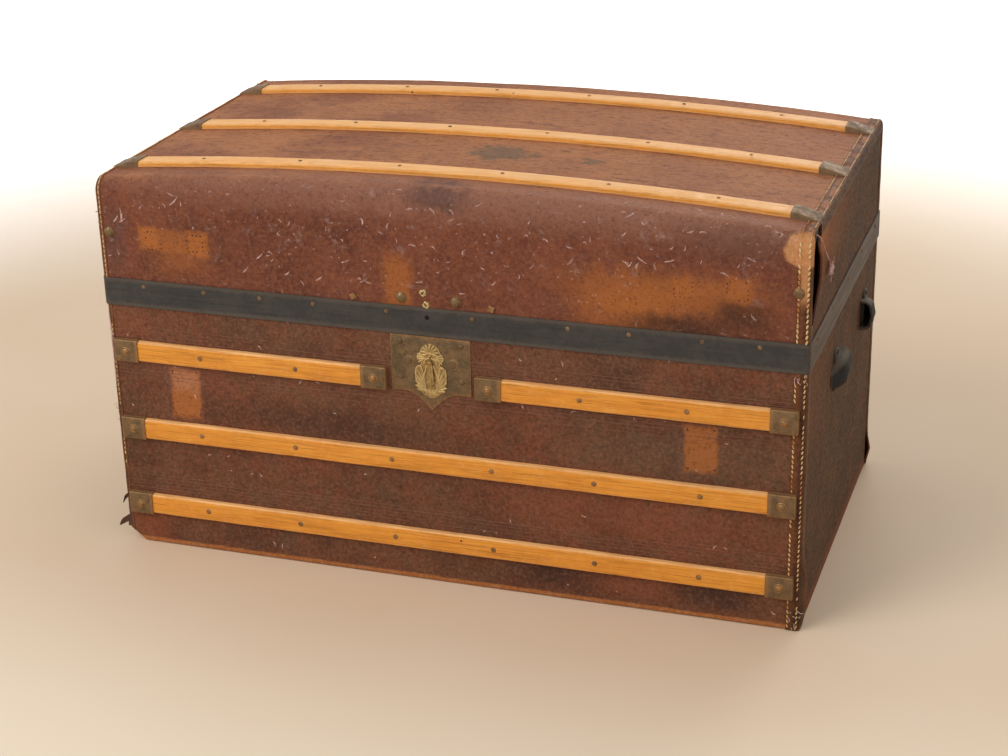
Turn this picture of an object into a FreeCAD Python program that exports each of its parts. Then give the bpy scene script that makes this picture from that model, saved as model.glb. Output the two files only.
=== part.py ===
import FreeCAD, Part
import math
import os
import Sketcher

# Dome top trunk: a wooden box and lid under sewn leather, with wooden slats, a sheet metal band,
# a lock with a pressed plate, cast handle caps and two butt hinges. Sizes are in millimetres.
# X runs along the trunk, the front faces -Y, Z is up and the origin is the centre of the bottom.

SIZES = {
    # the whole trunk over its leather
    "trunk_length": 914,
    "trunk_depth": 520,
    "seam_height": 356,
    "lid_end_height": 153,
    "crown_rise": 20,
    "top_edge_radius": 18,
    "least_round": 2,
    "board": 12,
    "leather": 2.5,
    "leather_lift": 0.5,
    "binding_leg": 16,
    # band round the lid's front and ends, lapping over the seam
    "band_height": 37,
    "band_lap": 15,
    "band_metal": 1.8,
    "band_clearance": 0.4,
    # wooden slats and their sheet metal caps
    "slat_width": 28,
    "slat_thick": 7,
    "slat_edge_radius": 2.5,
    "slat_end_inset": 8,
    "cap_length": 34,
    "cap_metal": 1.2,
    "upper_row_drop": 61.5,
    "lower_row_height": 60,
    "top_slat_offset": -13,
    "top_slat_front_inset": 64,
    "top_slat_rear_inset": 80,
    "top_cap_inset": 2,
    # lock, set a little to the left of the middle
    "lock_offset": -11,
    "lock_slat_gap": 6,
    "plate_width": 105,
    "plate_side": 75,
    "plate_drop": 24,
    "plate_curve": 34,
    "plate_metal": 1.2,
    "plate_top_gap": 1,
    "escutcheon_top_gap": 9,
    "escutcheon_thick": 2.5,
    "fan_radius": 20,
    "fan_skirt": 14,
    "waist_width": 22,
    "waist_length": 10,
    "shield_width": 42,
    "shield_height": 14,
    "foot_width": 14,
    "foot_height": 14,
    "foot_curve": 30,
    "keyhole_width": 5,
    "keyhole_height": 10,
    "keyhole_drop": 20,
    "cover_radius": 4.5,
    "cover_length": 26,
    "cover_thick": 1.6,
    "cover_gap": 0.3,
    "cover_pin_radius": 1.5,
    "cover_pin_head_radius": 2.8,
    "cover_pin_head_height": 1.4,
    "case_width": 90,
    "case_height": 64,
    "case_depth": 18,
    "case_metal": 2,
    "case_clearance": 0.2,
    "bolt_length": 44,
    "bolt_height": 12,
    "bolt_thick": 10,
    "bolt_clearance": 0.2,
    # cast handle caps on the ends
    "handle_cap_spacing": 222,
    "handle_offset": 45,
    "handle_cap_drop": 70,
    "hood_height": 38,
    "hood_width": 56,
    "hood_proud": 18,
    "hood_foot": 3,
    "hood_wall": 3,
    "flange_lug": 10,
    "flange_thick": 2.5,
    # butt hinges on the back
    "hinge_inset": 157,
    "hinge_width": 52,
    "hinge_leaf_height": 42,
    "hinge_metal": 2,
    "knuckle_radius": 4.5,
    "knuckle_gap": 0.3,
    "knuckle_clearance": 0.5,
    "hinge_pin_radius": 2,
    "hinge_pin_overhang": 1,
    "running_clearance": 0.05,
    # nails, rivets and screws
    "slat_nail_radius": 2.6,
    "slat_nail_height": 1.2,
    "slat_nail_pitch": 133,
    "band_nail_radius": 3,
    "band_nail_height": 1.6,
    "band_nail_drop": 9,
    "cap_rivet_radius": 6,
    "cap_rivet_height": 3.2,
    "top_cap_nail_radius": 3.2,
    "top_cap_nail_pitch": 11,
    "dome_nail_radius": 7,
    "dome_nail_height": 4.5,
    "dome_nail_side_rise": 83.5,
    "dome_nail_end_inset": 14,
    "dome_nail_lock_rise": 10.5,
    "dome_nail_lock_spread": 35.5,
    "hasp_rivet_width": 9,
    "hasp_rivet_height": 2.2,
    "hasp_rivet_gap": 1.5,
    "hasp_rivet_spread": 90,
    "hasp_offset": -9,
    "stud_radius": 4,
    "stud_height": 2.4,
    "stud_inset": 12.5,
    "stud_margin": 9,
    "stud_pitch": 47,
    "boss_radius": 6.5,
    "boss_height": 2,
    "boss_gap": 2.5,
    "boss_drop": 34,
    "screw_radius": 4,
    "screw_height": 1.2,
    "screw_margin": 9,
    "shank_radius": 1.3,
    "shank_bite": 7,
    # room past a face that a cut runs through
    "overrun": 5,
}

# Places of the band's nails as shares of the half length and the half depth.
BAND_FRONT_SHARES = (-0.875, -0.69, -0.52, -0.36, -0.145, 0.1, 0.365, 0.53, 0.725, 0.875)
BAND_END_SHARES = (-0.83, -0.42, 0, 0.42, 0.83)

HALF_X = "(dims.trunk_length / 2)"
HALF_Y = "(dims.trunk_depth / 2)"
SEAM = "dims.seam_height"
BASE_X = f"({HALF_X} - dims.band_clearance)"
BASE_Y = f"({HALF_Y} - dims.band_clearance)"
WOOD_X = f"({BASE_X} - dims.leather)"
WOOD_Y = f"({BASE_Y} - dims.leather)"
ROOM_X = f"({WOOD_X} - dims.board)"
ROOM_Y = f"({WOOD_Y} - dims.board)"
LID_X = f"({HALF_X} - dims.leather)"
LID_Y = f"({HALF_Y} - dims.leather)"
LID_ROOM_X = f"({LID_X} - dims.board)"
LID_ROOM_Y = f"({LID_Y} - dims.board)"
RAIL_Y = f"({HALF_Y} - dims.top_edge_radius)"
RAIL_FOOT = f"({SEAM} + dims.lid_end_height - dims.top_edge_radius)"
LID_TOP = f"({SEAM} + dims.lid_end_height + dims.crown_rise)"
CROWN_R = f"({HALF_X}^2 / (2 * dims.crown_rise) + dims.crown_rise / 2)"
CROWN_Z = f"({LID_TOP} - {CROWN_R})"
BAND_LOW = f"({SEAM} - dims.band_lap)"
BAND_TOP = f"({BAND_LOW} + dims.band_height)"
PLATE_TOP = f"({BAND_LOW} - dims.plate_top_gap)"
PLATE_FACE = f"(-{BASE_Y} - dims.plate_metal)"
ESCUTCHEON_TOP = f"({PLATE_TOP} - dims.escutcheon_top_gap)"
PIVOT_Z = f"({ESCUTCHEON_TOP} - dims.fan_radius - dims.cover_radius)"
KEYHOLE_Z = f"({PIVOT_Z} - dims.keyhole_drop)"
CASE_X = ("(dims.lock_offset - dims.case_width / 2)", "(dims.lock_offset + dims.case_width / 2)")
CASE_Z = (f"({KEYHOLE_Z} - dims.case_height / 2)", f"({KEYHOLE_Z} + dims.case_height / 2)")
HINGE_Y = f"({HALF_Y} + dims.knuckle_radius + dims.knuckle_clearance)"
UPPER_ROW = f"({BAND_LOW} - dims.upper_row_drop)"
LOWER_ROW = "dims.lower_row_height"
MIDDLE_ROW = f"(({UPPER_ROW} + {LOWER_ROW}) / 2)"
HANDLE_Z = f"({BAND_LOW} - dims.handle_cap_drop)"

doc = FreeCAD.newDocument("DomeTopTrunk")
sheet = doc.addObject("Spreadsheet::Sheet", "dims")
for row, (alias, size) in enumerate(SIZES.items(), start=1):
    sheet.set(f"A{row}", alias)
    sheet.set(f"B{row}", str(size))
    sheet.setAlias(f"B{row}", alias)
doc.recompute()

pieces = []


def worth(expression):
    """Number that an expression of the sheet's cells comes to."""
    return float(sheet.evalExpression(expression))


def keep(thing):
    """Count a finished document object as one of the trunk's pieces."""
    thing.Label = thing.Name
    pieces.append(thing)
    return thing


def slab(name, x, y, z):
    """Box between two places on each axis, each a pair of expressions."""
    box = doc.addObject("Part::Box", name)
    for side, axis, (low, high) in zip(("Length", "Width", "Height"), "xyz", (x, y, z)):
        box.setExpression(side, f"({high}) - ({low})")
        box.setExpression(f"Placement.Base.{axis}", low)
    return box


def rod(name, radius, start, length, along):
    """Cylinder from a start point along a direction."""
    cylinder = doc.addObject("Part::Cylinder", name)
    cylinder.setExpression("Radius", radius)
    cylinder.setExpression("Height", length)
    cylinder.Placement.Rotation = FreeCAD.Rotation(FreeCAD.Vector(0, 0, 1), FreeCAD.Vector(*along))
    for axis, expression in zip("xyz", start):
        cylinder.setExpression(f"Placement.Base.{axis}", expression)
    return cylinder


def cut(name, base, tool):
    """What is left of base outside tool."""
    result = doc.addObject("Part::Cut", name)
    result.Base = base
    result.Tool = tool
    return result


def common(name, first, second):
    """What two objects share."""
    result = doc.addObject("Part::Common", name)
    result.Base = first
    result.Tool = second
    return result


def fuse(name, parts):
    """Several objects joined into one."""
    result = doc.addObject("Part::MultiFuse", name)
    result.Shapes = parts
    return result


def group(name, parts):
    """Separate solids kept in one object."""
    result = doc.addObject("Part::Compound", name)
    result.Links = parts
    return result


def place(thing, x, y, z):
    """Bind an object's place to three expressions."""
    for axis, expression in zip("xyz", (x, y, z)):
        thing.setExpression(f"Placement.Base.{axis}", expression)
    return thing


def mirrored(x):
    """A pair of expressions on the other side of zero."""
    return f"-({x[1]})", f"-({x[0]})"


def bend(start, stop, radius):
    """Arc under a half circle; a negative radius hollows the outline."""
    chord = stop - start
    side = FreeCAD.Vector(-chord.y, chord.x, 0).normalize()
    rise = math.sqrt(max(radius * radius - chord.Length * chord.Length / 4, 0))
    centre = (start + stop) / 2 + side * math.copysign(rise, radius)
    first, last = (start, stop) if radius > 0 else (stop, start)
    angles = [math.atan2(end.y - centre.y, end.x - centre.x) for end in (first, last)]
    circle = Part.Circle(centre, FreeCAD.Vector(0, 0, 1), abs(radius))
    return Part.ArcOfCircle(circle, *angles)


def outline(body, name, role, points):
    """Closed sketch on one of the body's planes, its points and arc radii bound to the sheet.

    Each point is (across, up, radius), and the radius, or None, is that of the side that leaves it.
    """
    sketch = body.newObject("Sketcher::SketchObject", name)
    plane = next(feature for feature in body.Origin.OriginFeatures if feature.Role == role)
    sketch.AttachmentSupport = (plane, [""])
    sketch.MapMode = "FlatFace"
    spots = [FreeCAD.Vector(worth(across), worth(up), 0) for across, up, _ in points]
    ends = []
    for spot, following, (_, _, radius) in zip(spots, spots[1:] + spots[:1], points):
        if radius is None:
            sketch.addGeometry(Part.LineSegment(spot, following))
            ends.append((1, 2))
        else:
            sketch.addGeometry(bend(spot, following, worth(radius)))
            ends.append((1, 2) if worth(radius) > 0 else (2, 1))
    for side, (first, last) in enumerate(ends):
        after = (side + 1) % len(ends)
        sketch.addConstraint(Sketcher.Constraint("Coincident", side, last, after, ends[after][0]))
    for side, (across, up, radius) in enumerate(points):
        first = ends[side][0]
        for kind, axis, expression in (("DistanceX", -2, across), ("DistanceY", -1, up)):
            if expression == "0":
                sketch.addConstraint(Sketcher.Constraint("PointOnObject", side, first, axis))
            else:
                rule = Sketcher.Constraint(kind, -1, 1, side, first, worth(expression))
                sketch.setExpression(f"Constraints[{sketch.addConstraint(rule)}]", expression)
        if radius is not None:
            rule = Sketcher.Constraint("Radius", side, abs(worth(radius)))
            sketch.setExpression(f"Constraints[{sketch.addConstraint(rule)}]", f"abs({radius})")
    return sketch


def padded(name, role, points, length, symmetric=False):
    """Body made by padding one outline."""
    body = doc.addObject("PartDesign::Body", name)
    pad = body.newObject("PartDesign::Pad", f"{name}_pad")
    pad.Profile = outline(body, f"{name}_outline", role, points)
    pad.setExpression("Length", length)
    if symmetric:
        pad.SideType = "Symmetric"
    body.Tip = pad
    return body


def bowed(name, points, half_length, y):
    """Body made by sweeping a section along the crown of the lid."""
    body = doc.addObject("PartDesign::Body", name)
    section = outline(body, f"{name}_section", "YZ_Plane", points)
    sweep = body.newObject("PartDesign::Revolution", f"{name}_sweep")
    sweep.Profile = section
    sweep.ReferenceAxis = (section, ["H_Axis"])
    sweep.Midplane = True
    sweep.setExpression("Angle", f"2 * asin({half_length} / {CROWN_R})")
    body.Tip = sweep
    return place(body, "0", y, CROWN_Z)


def lid_form(name, half_length, inset):
    """Solid shape of the lid, bowed along its length and rounded at front and back, drawn in by inset."""
    radius = f"({CROWN_R} - {inset})"
    end = f"({CROWN_Z} - {SEAM} + sqrt({radius}^2 - {half_length}^2))"
    points = (
        (f"-{half_length}", "0", None),
        (half_length, "0", None),
        (half_length, end, radius),
        (f"-{half_length}", end, None),
    )
    body = padded(name, "XZ_Plane", points, f"dims.trunk_depth - 2 * {inset}", symmetric=True)
    doc.recompute()
    pad = body.Tip
    bowed_edges = [f"Edge{number}" for number, edge in enumerate(pad.Shape.Edges, start=1)
                   if isinstance(edge.Curve, Part.Circle)]
    rounding = body.newObject("PartDesign::Fillet", f"{name}_rounding")
    rounding.Base = (pad, bowed_edges)
    rounding.setExpression("Radius", f"max(dims.top_edge_radius - {inset}; dims.least_round)")
    body.Tip = rounding
    return place(body, "0", "0", SEAM)


def nail(head_radius, head_height, shank_length):
    """Dome headed nail along +Z, its head standing on the ground plane."""
    ball = (head_radius ** 2 + head_height ** 2) / (2 * head_height)
    level = math.degrees(math.asin((ball - head_height) / ball))
    up = FreeCAD.Vector(0, 0, 1)
    head = Part.makeSphere(ball, FreeCAD.Vector(0, 0, head_height - ball), up, level, 90, 360)
    shank = Part.makeCylinder(worth("dims.shank_radius"), shank_length, FreeCAD.Vector(0, 0, 0), -up)
    return head.fuse(shank).removeSplitter()


def driven(shape, seats):
    """Copies of a nail driven in at each (point, outward direction)."""
    copies = []
    for point, outward in seats:
        turn = FreeCAD.Rotation(FreeCAD.Vector(0, 0, 1), FreeCAD.Vector(*outward))
        copies.append(shape.transformed(FreeCAD.Placement(FreeCAD.Vector(*point), turn).toMatrix()))
    return copies


def fasteners(name, shapes):
    """Piece that holds like fasteners as separate solids."""
    feature = doc.addObject("Part::Feature", name)
    feature.Shape = Part.makeCompound(shapes)
    return keep(feature)


FRONT = (0, -1, 0)
BACK = (0, 1, 0)
ALONG = (1, 0, 0)
half_x = worth(HALF_X)
half_y = worth(HALF_Y)
base_x = worth(BASE_X)
lock_x = worth("dims.lock_offset")
bite = worth("dims.leather + dims.shank_bite")


def keyhole(name):
    """Slot for the key, from the front of the escutcheon into the lock case."""
    slot_x = ("dims.lock_offset - dims.keyhole_width / 2", "dims.lock_offset + dims.keyhole_width / 2")
    slot_y = (f"{PLATE_FACE} - dims.escutcheon_thick - dims.overrun", f"-{WOOD_Y} + dims.overrun")
    slot_z = (f"{KEYHOLE_Z} - dims.keyhole_height / 2", f"{KEYHOLE_Z} + dims.keyhole_height / 2")
    return slab(name, slot_x, slot_y, slot_z)


# Base carcass, with the front's upper boards fitted round the lock case
across = (f"-{WOOD_X}", WOOD_X)
wall = ("dims.board", SEAM)
keep(slab("bottom_board", across, (f"-{WOOD_Y}", WOOD_Y), ("0", "dims.board")))
front_y = (f"-{WOOD_Y}", f"-{ROOM_Y}")
NOTCH_X = (f"({CASE_X[0]} - dims.case_clearance)", f"({CASE_X[1]} + dims.case_clearance)")
NOTCH_Z = (f"({CASE_Z[0]} - dims.case_clearance)", f"({CASE_Z[1]} + dims.case_clearance)")
keep(slab("base_front_board", across, front_y, ("dims.board", NOTCH_Z[0])))
upper_boards = [
    slab("front_upper_left", (f"-{WOOD_X}", NOTCH_X[0]), front_y, (NOTCH_Z[0], SEAM)),
    slab("front_upper_right", (NOTCH_X[1], WOOD_X), front_y, (NOTCH_Z[0], SEAM)),
    slab("front_above_lock", NOTCH_X, front_y, (NOTCH_Z[1], SEAM)),
]
keep(group("base_front_upper_boards", upper_boards))
keep(slab("base_back_board", across, (ROOM_Y, WOOD_Y), wall))
between = (f"-{ROOM_Y}", ROOM_Y)
keep(slab("base_left_board", mirrored((ROOM_X, WOOD_X)), between, wall))
keep(slab("base_right_board", (ROOM_X, WOOD_X), between, wall))

# Base leather, in four panels with a sewn binding round each upright corner
skin = ("dims.leather_lift", f"{SEAM} - dims.leather_lift")
panel_x = (f"-({BASE_X} - dims.binding_leg)", f"{BASE_X} - dims.binding_leg")
panel_y = (f"-({BASE_Y} - dims.binding_leg)", f"{BASE_Y} - dims.binding_leg")
leather_blank = slab("leather_blank", panel_x, mirrored((WOOD_Y, BASE_Y)), skin)
keep(cut("base_front_leather", leather_blank, keyhole("front_leather_keyhole")))
keep(slab("base_back_leather", panel_x, (WOOD_Y, BASE_Y), skin))
keep(slab("base_left_leather", mirrored((WOOD_X, BASE_X)), panel_y, skin))
keep(slab("base_right_leather", (WOOD_X, BASE_X), panel_y, skin))


def corner_binding(name, x_side, y_side):
    """Strip of leather round one upright corner of the base."""
    x_outer, x_inner = (f"{BASE_X} - dims.binding_leg", BASE_X), (f"{ROOM_X} - dims.overrun", WOOD_X)
    y_outer, y_inner = (f"{BASE_Y} - dims.binding_leg", BASE_Y), (f"{ROOM_Y} - dims.overrun", WOOD_Y)
    if x_side == "left":
        x_outer, x_inner = mirrored(x_outer), mirrored(x_inner)
    if y_side == "front":
        y_outer, y_inner = mirrored(y_outer), mirrored(y_inner)
    outer = slab(f"{name}_outer", x_outer, y_outer, skin)
    return cut(name, outer, slab(f"{name}_inner", x_inner, y_inner, skin))


for side in ("left", "right"):
    strips = [corner_binding(f"binding_{side}_{end}", side, end) for end in ("front", "rear")]
    keep(group(f"base_{side}_bindings", strips))

# Front slats, as (name, left end, right end, height of the middle)
SLAT_LEFT = f"-({HALF_X} - dims.slat_end_inset)"
SLAT_RIGHT = f"({HALF_X} - dims.slat_end_inset)"
LOCK_ROOM = "(dims.plate_width / 2 + dims.lock_slat_gap)"
FRONT_SLATS = (
    ("front_slat_upper_left", SLAT_LEFT, f"(dims.lock_offset - {LOCK_ROOM})", UPPER_ROW),
    ("front_slat_upper_right", f"(dims.lock_offset + {LOCK_ROOM})", SLAT_RIGHT, UPPER_ROW),
    ("front_slat_middle", SLAT_LEFT, SLAT_RIGHT, MIDDLE_ROW),
    ("front_slat_lower", SLAT_LEFT, SLAT_RIGHT, LOWER_ROW),
)
HALF_W = "(dims.slat_width / 2)"
EASE = "dims.slat_edge_radius"


def front_slat(name, left, right, height):
    """Flat slat with its outer long edges rounded."""
    points = (
        (f"-dims.slat_thick + {EASE}", f"-{HALF_W}", None),
        ("0", f"-{HALF_W}", None),
        ("0", HALF_W, None),
        (f"-dims.slat_thick + {EASE}", HALF_W, EASE),
        ("-dims.slat_thick", f"{HALF_W} - {EASE}", None),
        ("-dims.slat_thick", f"-{HALF_W} + {EASE}", EASE),
    )
    length = f"{right} - {left} - 2 * dims.cap_metal"
    body = padded(name, "YZ_Plane", points, length, symmetric=True)
    return place(body, f"({left} + {right}) / 2", f"-{BASE_Y}", height)


def front_cap(name, x, closed, height):
    """Sheet metal shoe over a slat's end, open at the back and towards the slat's middle."""
    outer_y = (f"-{BASE_Y} - dims.slat_thick - dims.cap_metal", f"-{BASE_Y}")
    outer_z = (f"{height} - {HALF_W} - dims.cap_metal", f"{height} + {HALF_W} + dims.cap_metal")
    inner_y = (f"-{BASE_Y} - dims.slat_thick", f"-{BASE_Y} + dims.overrun")
    inner_z = (f"{height} - {HALF_W}", f"{height} + {HALF_W}")
    low, high = x
    inner_x = (f"{low} + dims.cap_metal", f"{high} + dims.overrun")
    if closed == "right":
        inner_x = (f"{low} - dims.overrun", f"{high} - dims.cap_metal")
    outer = slab(f"{name}_outer", x, outer_y, outer_z)
    return cut(name, outer, slab(f"{name}_inner", inner_x, inner_y, inner_z))


caps = []
rivet_seats = []
slat_seats = []
slat_face = -worth(f"{BASE_Y} + dims.slat_thick")
for name, left, right, height in FRONT_SLATS:
    keep(front_slat(name, left, right, height))
    caps.append(front_cap(f"{name}_left_cap", (left, f"{left} + dims.cap_length"), "left", height))
    caps.append(front_cap(f"{name}_right_cap", (f"{right} - dims.cap_length", right), "right", height))
    level = worth(height)
    for end in (worth(f"{left} + dims.cap_length / 2"), worth(f"{right} - dims.cap_length / 2")):
        rivet_seats.append(((end, slat_face - worth("dims.cap_metal"), level), FRONT))
    pitch = worth("dims.slat_nail_pitch")
    span = worth(f"{right} - {left} - 2 * dims.cap_length")
    count = max(int(span / pitch), 2)
    for index in range(count):
        along = worth(f"({left} + {right}) / 2") + (index - (count - 1) / 2) * pitch
        slat_seats.append(((along, slat_face, level), FRONT))
keep(group("front_slat_caps", caps))
slat_bite = worth("dims.slat_thick") + bite
cap_bite = slat_bite + worth("dims.cap_metal")
slat_nail = nail(worth("dims.slat_nail_radius"), worth("dims.slat_nail_height"), slat_bite)
cap_rivet = nail(worth("dims.cap_rivet_radius"), worth("dims.cap_rivet_height"), cap_bite)
fasteners("front_slat_nails", driven(slat_nail, slat_seats))
fasteners("front_cap_rivets", driven(cap_rivet, rivet_seats))

# Lock plate, its lower edge drawn to a point in two ogee curves
HALF_P = "(dims.plate_width / 2)"
plate_points = (
    (f"-{HALF_P}", "-dims.plate_side", "dims.plate_curve"),
    (f"-{HALF_P} / 2", "-dims.plate_side - dims.plate_drop / 2", "-dims.plate_curve"),
    ("0", "-dims.plate_side - dims.plate_drop", "-dims.plate_curve"),
    (f"{HALF_P} / 2", "-dims.plate_side - dims.plate_drop / 2", "dims.plate_curve"),
    (HALF_P, "-dims.plate_side", None),
    (HALF_P, "0", None),
    (f"-{HALF_P}", "0", None),
)
plate_blank = padded("plate_blank", "XZ_Plane", plate_points, "dims.plate_metal")
place(plate_blank, "dims.lock_offset", f"-{BASE_Y}", PLATE_TOP)
keep(cut("lock_plate", plate_blank, keyhole("plate_keyhole")))

# Pressed escutcheon: a fan above, a narrow waist, and a shield that tapers to a rounded foot
FAN_Z = "-dims.fan_radius"
WAIST_Z = f"({FAN_Z} - dims.fan_skirt)"
SHIELD_Z = f"({WAIST_Z} - dims.waist_length)"
SHIELD_LOW = f"({SHIELD_Z} - dims.shield_height)"
FOOT_Z = f"({SHIELD_LOW} - dims.foot_height)"
HALF_WAIST = "(dims.waist_width / 2)"
HALF_SHIELD = "(dims.shield_width / 2)"
HALF_FOOT = "(dims.foot_width / 2)"
escutcheon_points = (
    (f"-{HALF_FOOT}", FOOT_Z, None),
    (HALF_FOOT, FOOT_Z, "dims.foot_curve"),
    (HALF_SHIELD, SHIELD_LOW, None),
    (HALF_SHIELD, SHIELD_Z, None),
    (HALF_WAIST, SHIELD_Z, None),
    (HALF_WAIST, WAIST_Z, None),
    ("dims.fan_radius", FAN_Z, "dims.fan_radius"),
    ("0", "0", "dims.fan_radius"),
    ("-dims.fan_radius", FAN_Z, None),
    (f"-{HALF_WAIST}", WAIST_Z, None),
    (f"-{HALF_WAIST}", SHIELD_Z, None),
    (f"-{HALF_SHIELD}", SHIELD_Z, None),
    (f"-{HALF_SHIELD}", SHIELD_LOW, "dims.foot_curve"),
)
escutcheon_blank = padded("escutcheon_blank", "XZ_Plane", escutcheon_points, "dims.escutcheon_thick")
place(escutcheon_blank, "dims.lock_offset", PLATE_FACE, ESCUTCHEON_TOP)
pin_start = ("dims.lock_offset", f"{PLATE_FACE} - dims.escutcheon_thick - dims.overrun", PIVOT_Z)
pin_hole = rod("pin_hole", "dims.cover_pin_radius", pin_start, "dims.escutcheon_thick + dims.overrun", BACK)
escutcheon_holes = fuse("escutcheon_holes", [keyhole("escutcheon_keyhole"), pin_hole])
keep(cut("lock_escutcheon", escutcheon_blank, escutcheon_holes))

# Keyhole cover, a small drop that swings on a pin through the escutcheon
DROP_R = "dims.cover_radius"
cover_points = (
    (f"-{DROP_R}", "-dims.cover_length", DROP_R),
    ("0", f"-dims.cover_length - {DROP_R}", DROP_R),
    (DROP_R, "-dims.cover_length", None),
    (DROP_R, "0", DROP_R),
    ("0", DROP_R, DROP_R),
    (f"-{DROP_R}", "0", None),
)
COVER_BACK = f"({PLATE_FACE} - dims.escutcheon_thick - dims.cover_gap)"
cover_blank = padded("cover_blank", "XZ_Plane", cover_points, "dims.cover_thick")
place(cover_blank, "dims.lock_offset", COVER_BACK, PIVOT_Z)
cover_start = ("dims.lock_offset", f"{COVER_BACK} - dims.cover_thick - dims.overrun", PIVOT_Z)
cover_bore = rod("cover_bore", "dims.cover_pin_radius + dims.running_clearance", cover_start,
                 "dims.cover_thick + 2 * dims.overrun", BACK)
keep(cut("keyhole_cover", cover_blank, cover_bore))
PIN_SEAT = f"({COVER_BACK} - dims.cover_thick - dims.cover_gap)"
pin_head = nail(worth("dims.cover_pin_head_radius"), worth("dims.cover_pin_head_height"),
                worth(f"{PLATE_FACE} - {PIN_SEAT}"))
pin_shank = Part.makeCylinder(worth("dims.cover_pin_radius"), worth(f"{PLATE_FACE} - {PIN_SEAT}"),
                              FreeCAD.Vector(0, 0, 0), FreeCAD.Vector(0, 0, -1))
cover_pin = pin_head.fuse(pin_shank).removeSplitter()
fasteners("keyhole_cover_pin", driven(cover_pin, [((lock_x, worth(PIN_SEAT), worth(PIVOT_Z)), FRONT)]))

# Lock case let in between the front boards, open towards the leather, with a sliding bolt
case_y = (f"-{WOOD_Y}", f"-{WOOD_Y} + dims.case_depth")
hollow_x = (f"{CASE_X[0]} + dims.case_metal", f"{CASE_X[1]} - dims.case_metal")
hollow_y = (f"-{WOOD_Y} - dims.overrun", f"{case_y[1]} - dims.case_metal")
hollow_z = (f"{CASE_Z[0]} + dims.case_metal", f"{CASE_Z[1]} - dims.case_metal")
case_outer = slab("case_outer", CASE_X, case_y, CASE_Z)
keep(cut("lock_case", case_outer, slab("case_hollow", hollow_x, hollow_y, hollow_z)))
bolt_x = (f"{hollow_x[0]} + dims.bolt_clearance", f"{hollow_x[0]} + dims.bolt_clearance + dims.bolt_length")
bolt_y = (f"{hollow_y[1]} - dims.bolt_clearance - dims.bolt_thick", f"{hollow_y[1]} - dims.bolt_clearance")
bolt_z = (f"{hollow_z[0]} + dims.bolt_clearance", f"{hollow_z[0]} + dims.bolt_clearance + dims.bolt_height")
keep(slab("lock_bolt", bolt_x, bolt_y, bolt_z))

# Nails and bosses of the lock plate
plate_face = worth(PLATE_FACE)
plate_bite = worth("dims.plate_metal") + bite
stud = nail(worth("dims.stud_radius"), worth("dims.stud_height"), plate_bite)
boss = nail(worth("dims.boss_radius"), worth("dims.boss_height"), plate_bite)
stud_top = worth(f"{PLATE_TOP} - dims.stud_margin")
stud_spread = worth("dims.plate_width / 2 - dims.stud_inset")
boss_spread = worth("dims.fan_radius + dims.boss_gap + dims.boss_radius")
boss_level = worth(f"{PLATE_TOP} - dims.boss_drop")
stud_seats = []
boss_seats = []
for sign in (-1, 1):
    for level in (stud_top, stud_top - worth("dims.stud_pitch")):
        stud_seats.append(((lock_x + sign * stud_spread, plate_face, level), FRONT))
    boss_seats.append(((lock_x + sign * boss_spread, plate_face, boss_level), FRONT))
fasteners("lock_plate_studs", driven(stud, stud_seats) + driven(boss, boss_seats))

# Handle caps: hoods whose mouths face each other across the end, each on a flange
HOOD_R = "(dims.hood_proud - dims.hood_foot)"
HOOD_IN = "(dims.hood_proud - dims.hood_wall)"
hood_points = (
    ("0", "0", None),
    ("dims.hood_proud", "0", None),
    ("dims.hood_proud", f"dims.hood_width - {HOOD_R}", HOOD_R),
    ("dims.hood_foot", "dims.hood_width", None),
    ("0", "dims.hood_width", None),
)
mouth_points = (
    ("-dims.overrun", "-dims.overrun", None),
    (HOOD_IN, "-dims.overrun", None),
    (HOOD_IN, f"dims.hood_width - {HOOD_R}", f"{HOOD_R} - dims.hood_wall"),
    ("dims.hood_foot", "dims.hood_width - dims.hood_wall", None),
    ("-dims.overrun", "dims.hood_width - dims.hood_wall", None),
)
# How the hood that opens towards -Y on the +X end is turned to each other place.
HOOD_TURNS = {
    ("right", "rear"): (FreeCAD.Vector(0, 0, 1), 0),
    ("right", "front"): (FreeCAD.Vector(1, 0, 0), 180),
    ("left", "front"): (FreeCAD.Vector(0, 0, 1), 180),
    ("left", "rear"): (FreeCAD.Vector(0, 1, 0), 180),
}
HOOD_Y = "(dims.handle_cap_spacing / 2 - dims.hood_width / 2)"
HALF_FLANGE = "(dims.hood_height / 2 + dims.flange_lug)"


def handle_cap(name, end, side):
    """Hollow cast hood on a nailed flange."""
    hood = padded(f"{name}_hood", "XY_Plane", hood_points, "dims.hood_height", symmetric=True)
    flange = slab(f"{name}_flange", ("0", "dims.flange_thick"), ("0", "dims.hood_width"),
                  (f"-{HALF_FLANGE}", HALF_FLANGE))
    mouth_height = "dims.hood_height - 2 * dims.hood_wall"
    mouth = padded(f"{name}_mouth", "XY_Plane", mouth_points, mouth_height, symmetric=True)
    cap = cut(name, fuse(f"{name}_blank", [hood, flange]), mouth)
    cap.Placement.Rotation = FreeCAD.Rotation(*HOOD_TURNS[end, side])
    x = BASE_X if end == "right" else f"-{BASE_X}"
    y = f"dims.handle_offset + {HOOD_Y}" if side == "rear" else f"dims.handle_offset - {HOOD_Y}"
    return keep(place(cap, x, y, HANDLE_Z))


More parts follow.
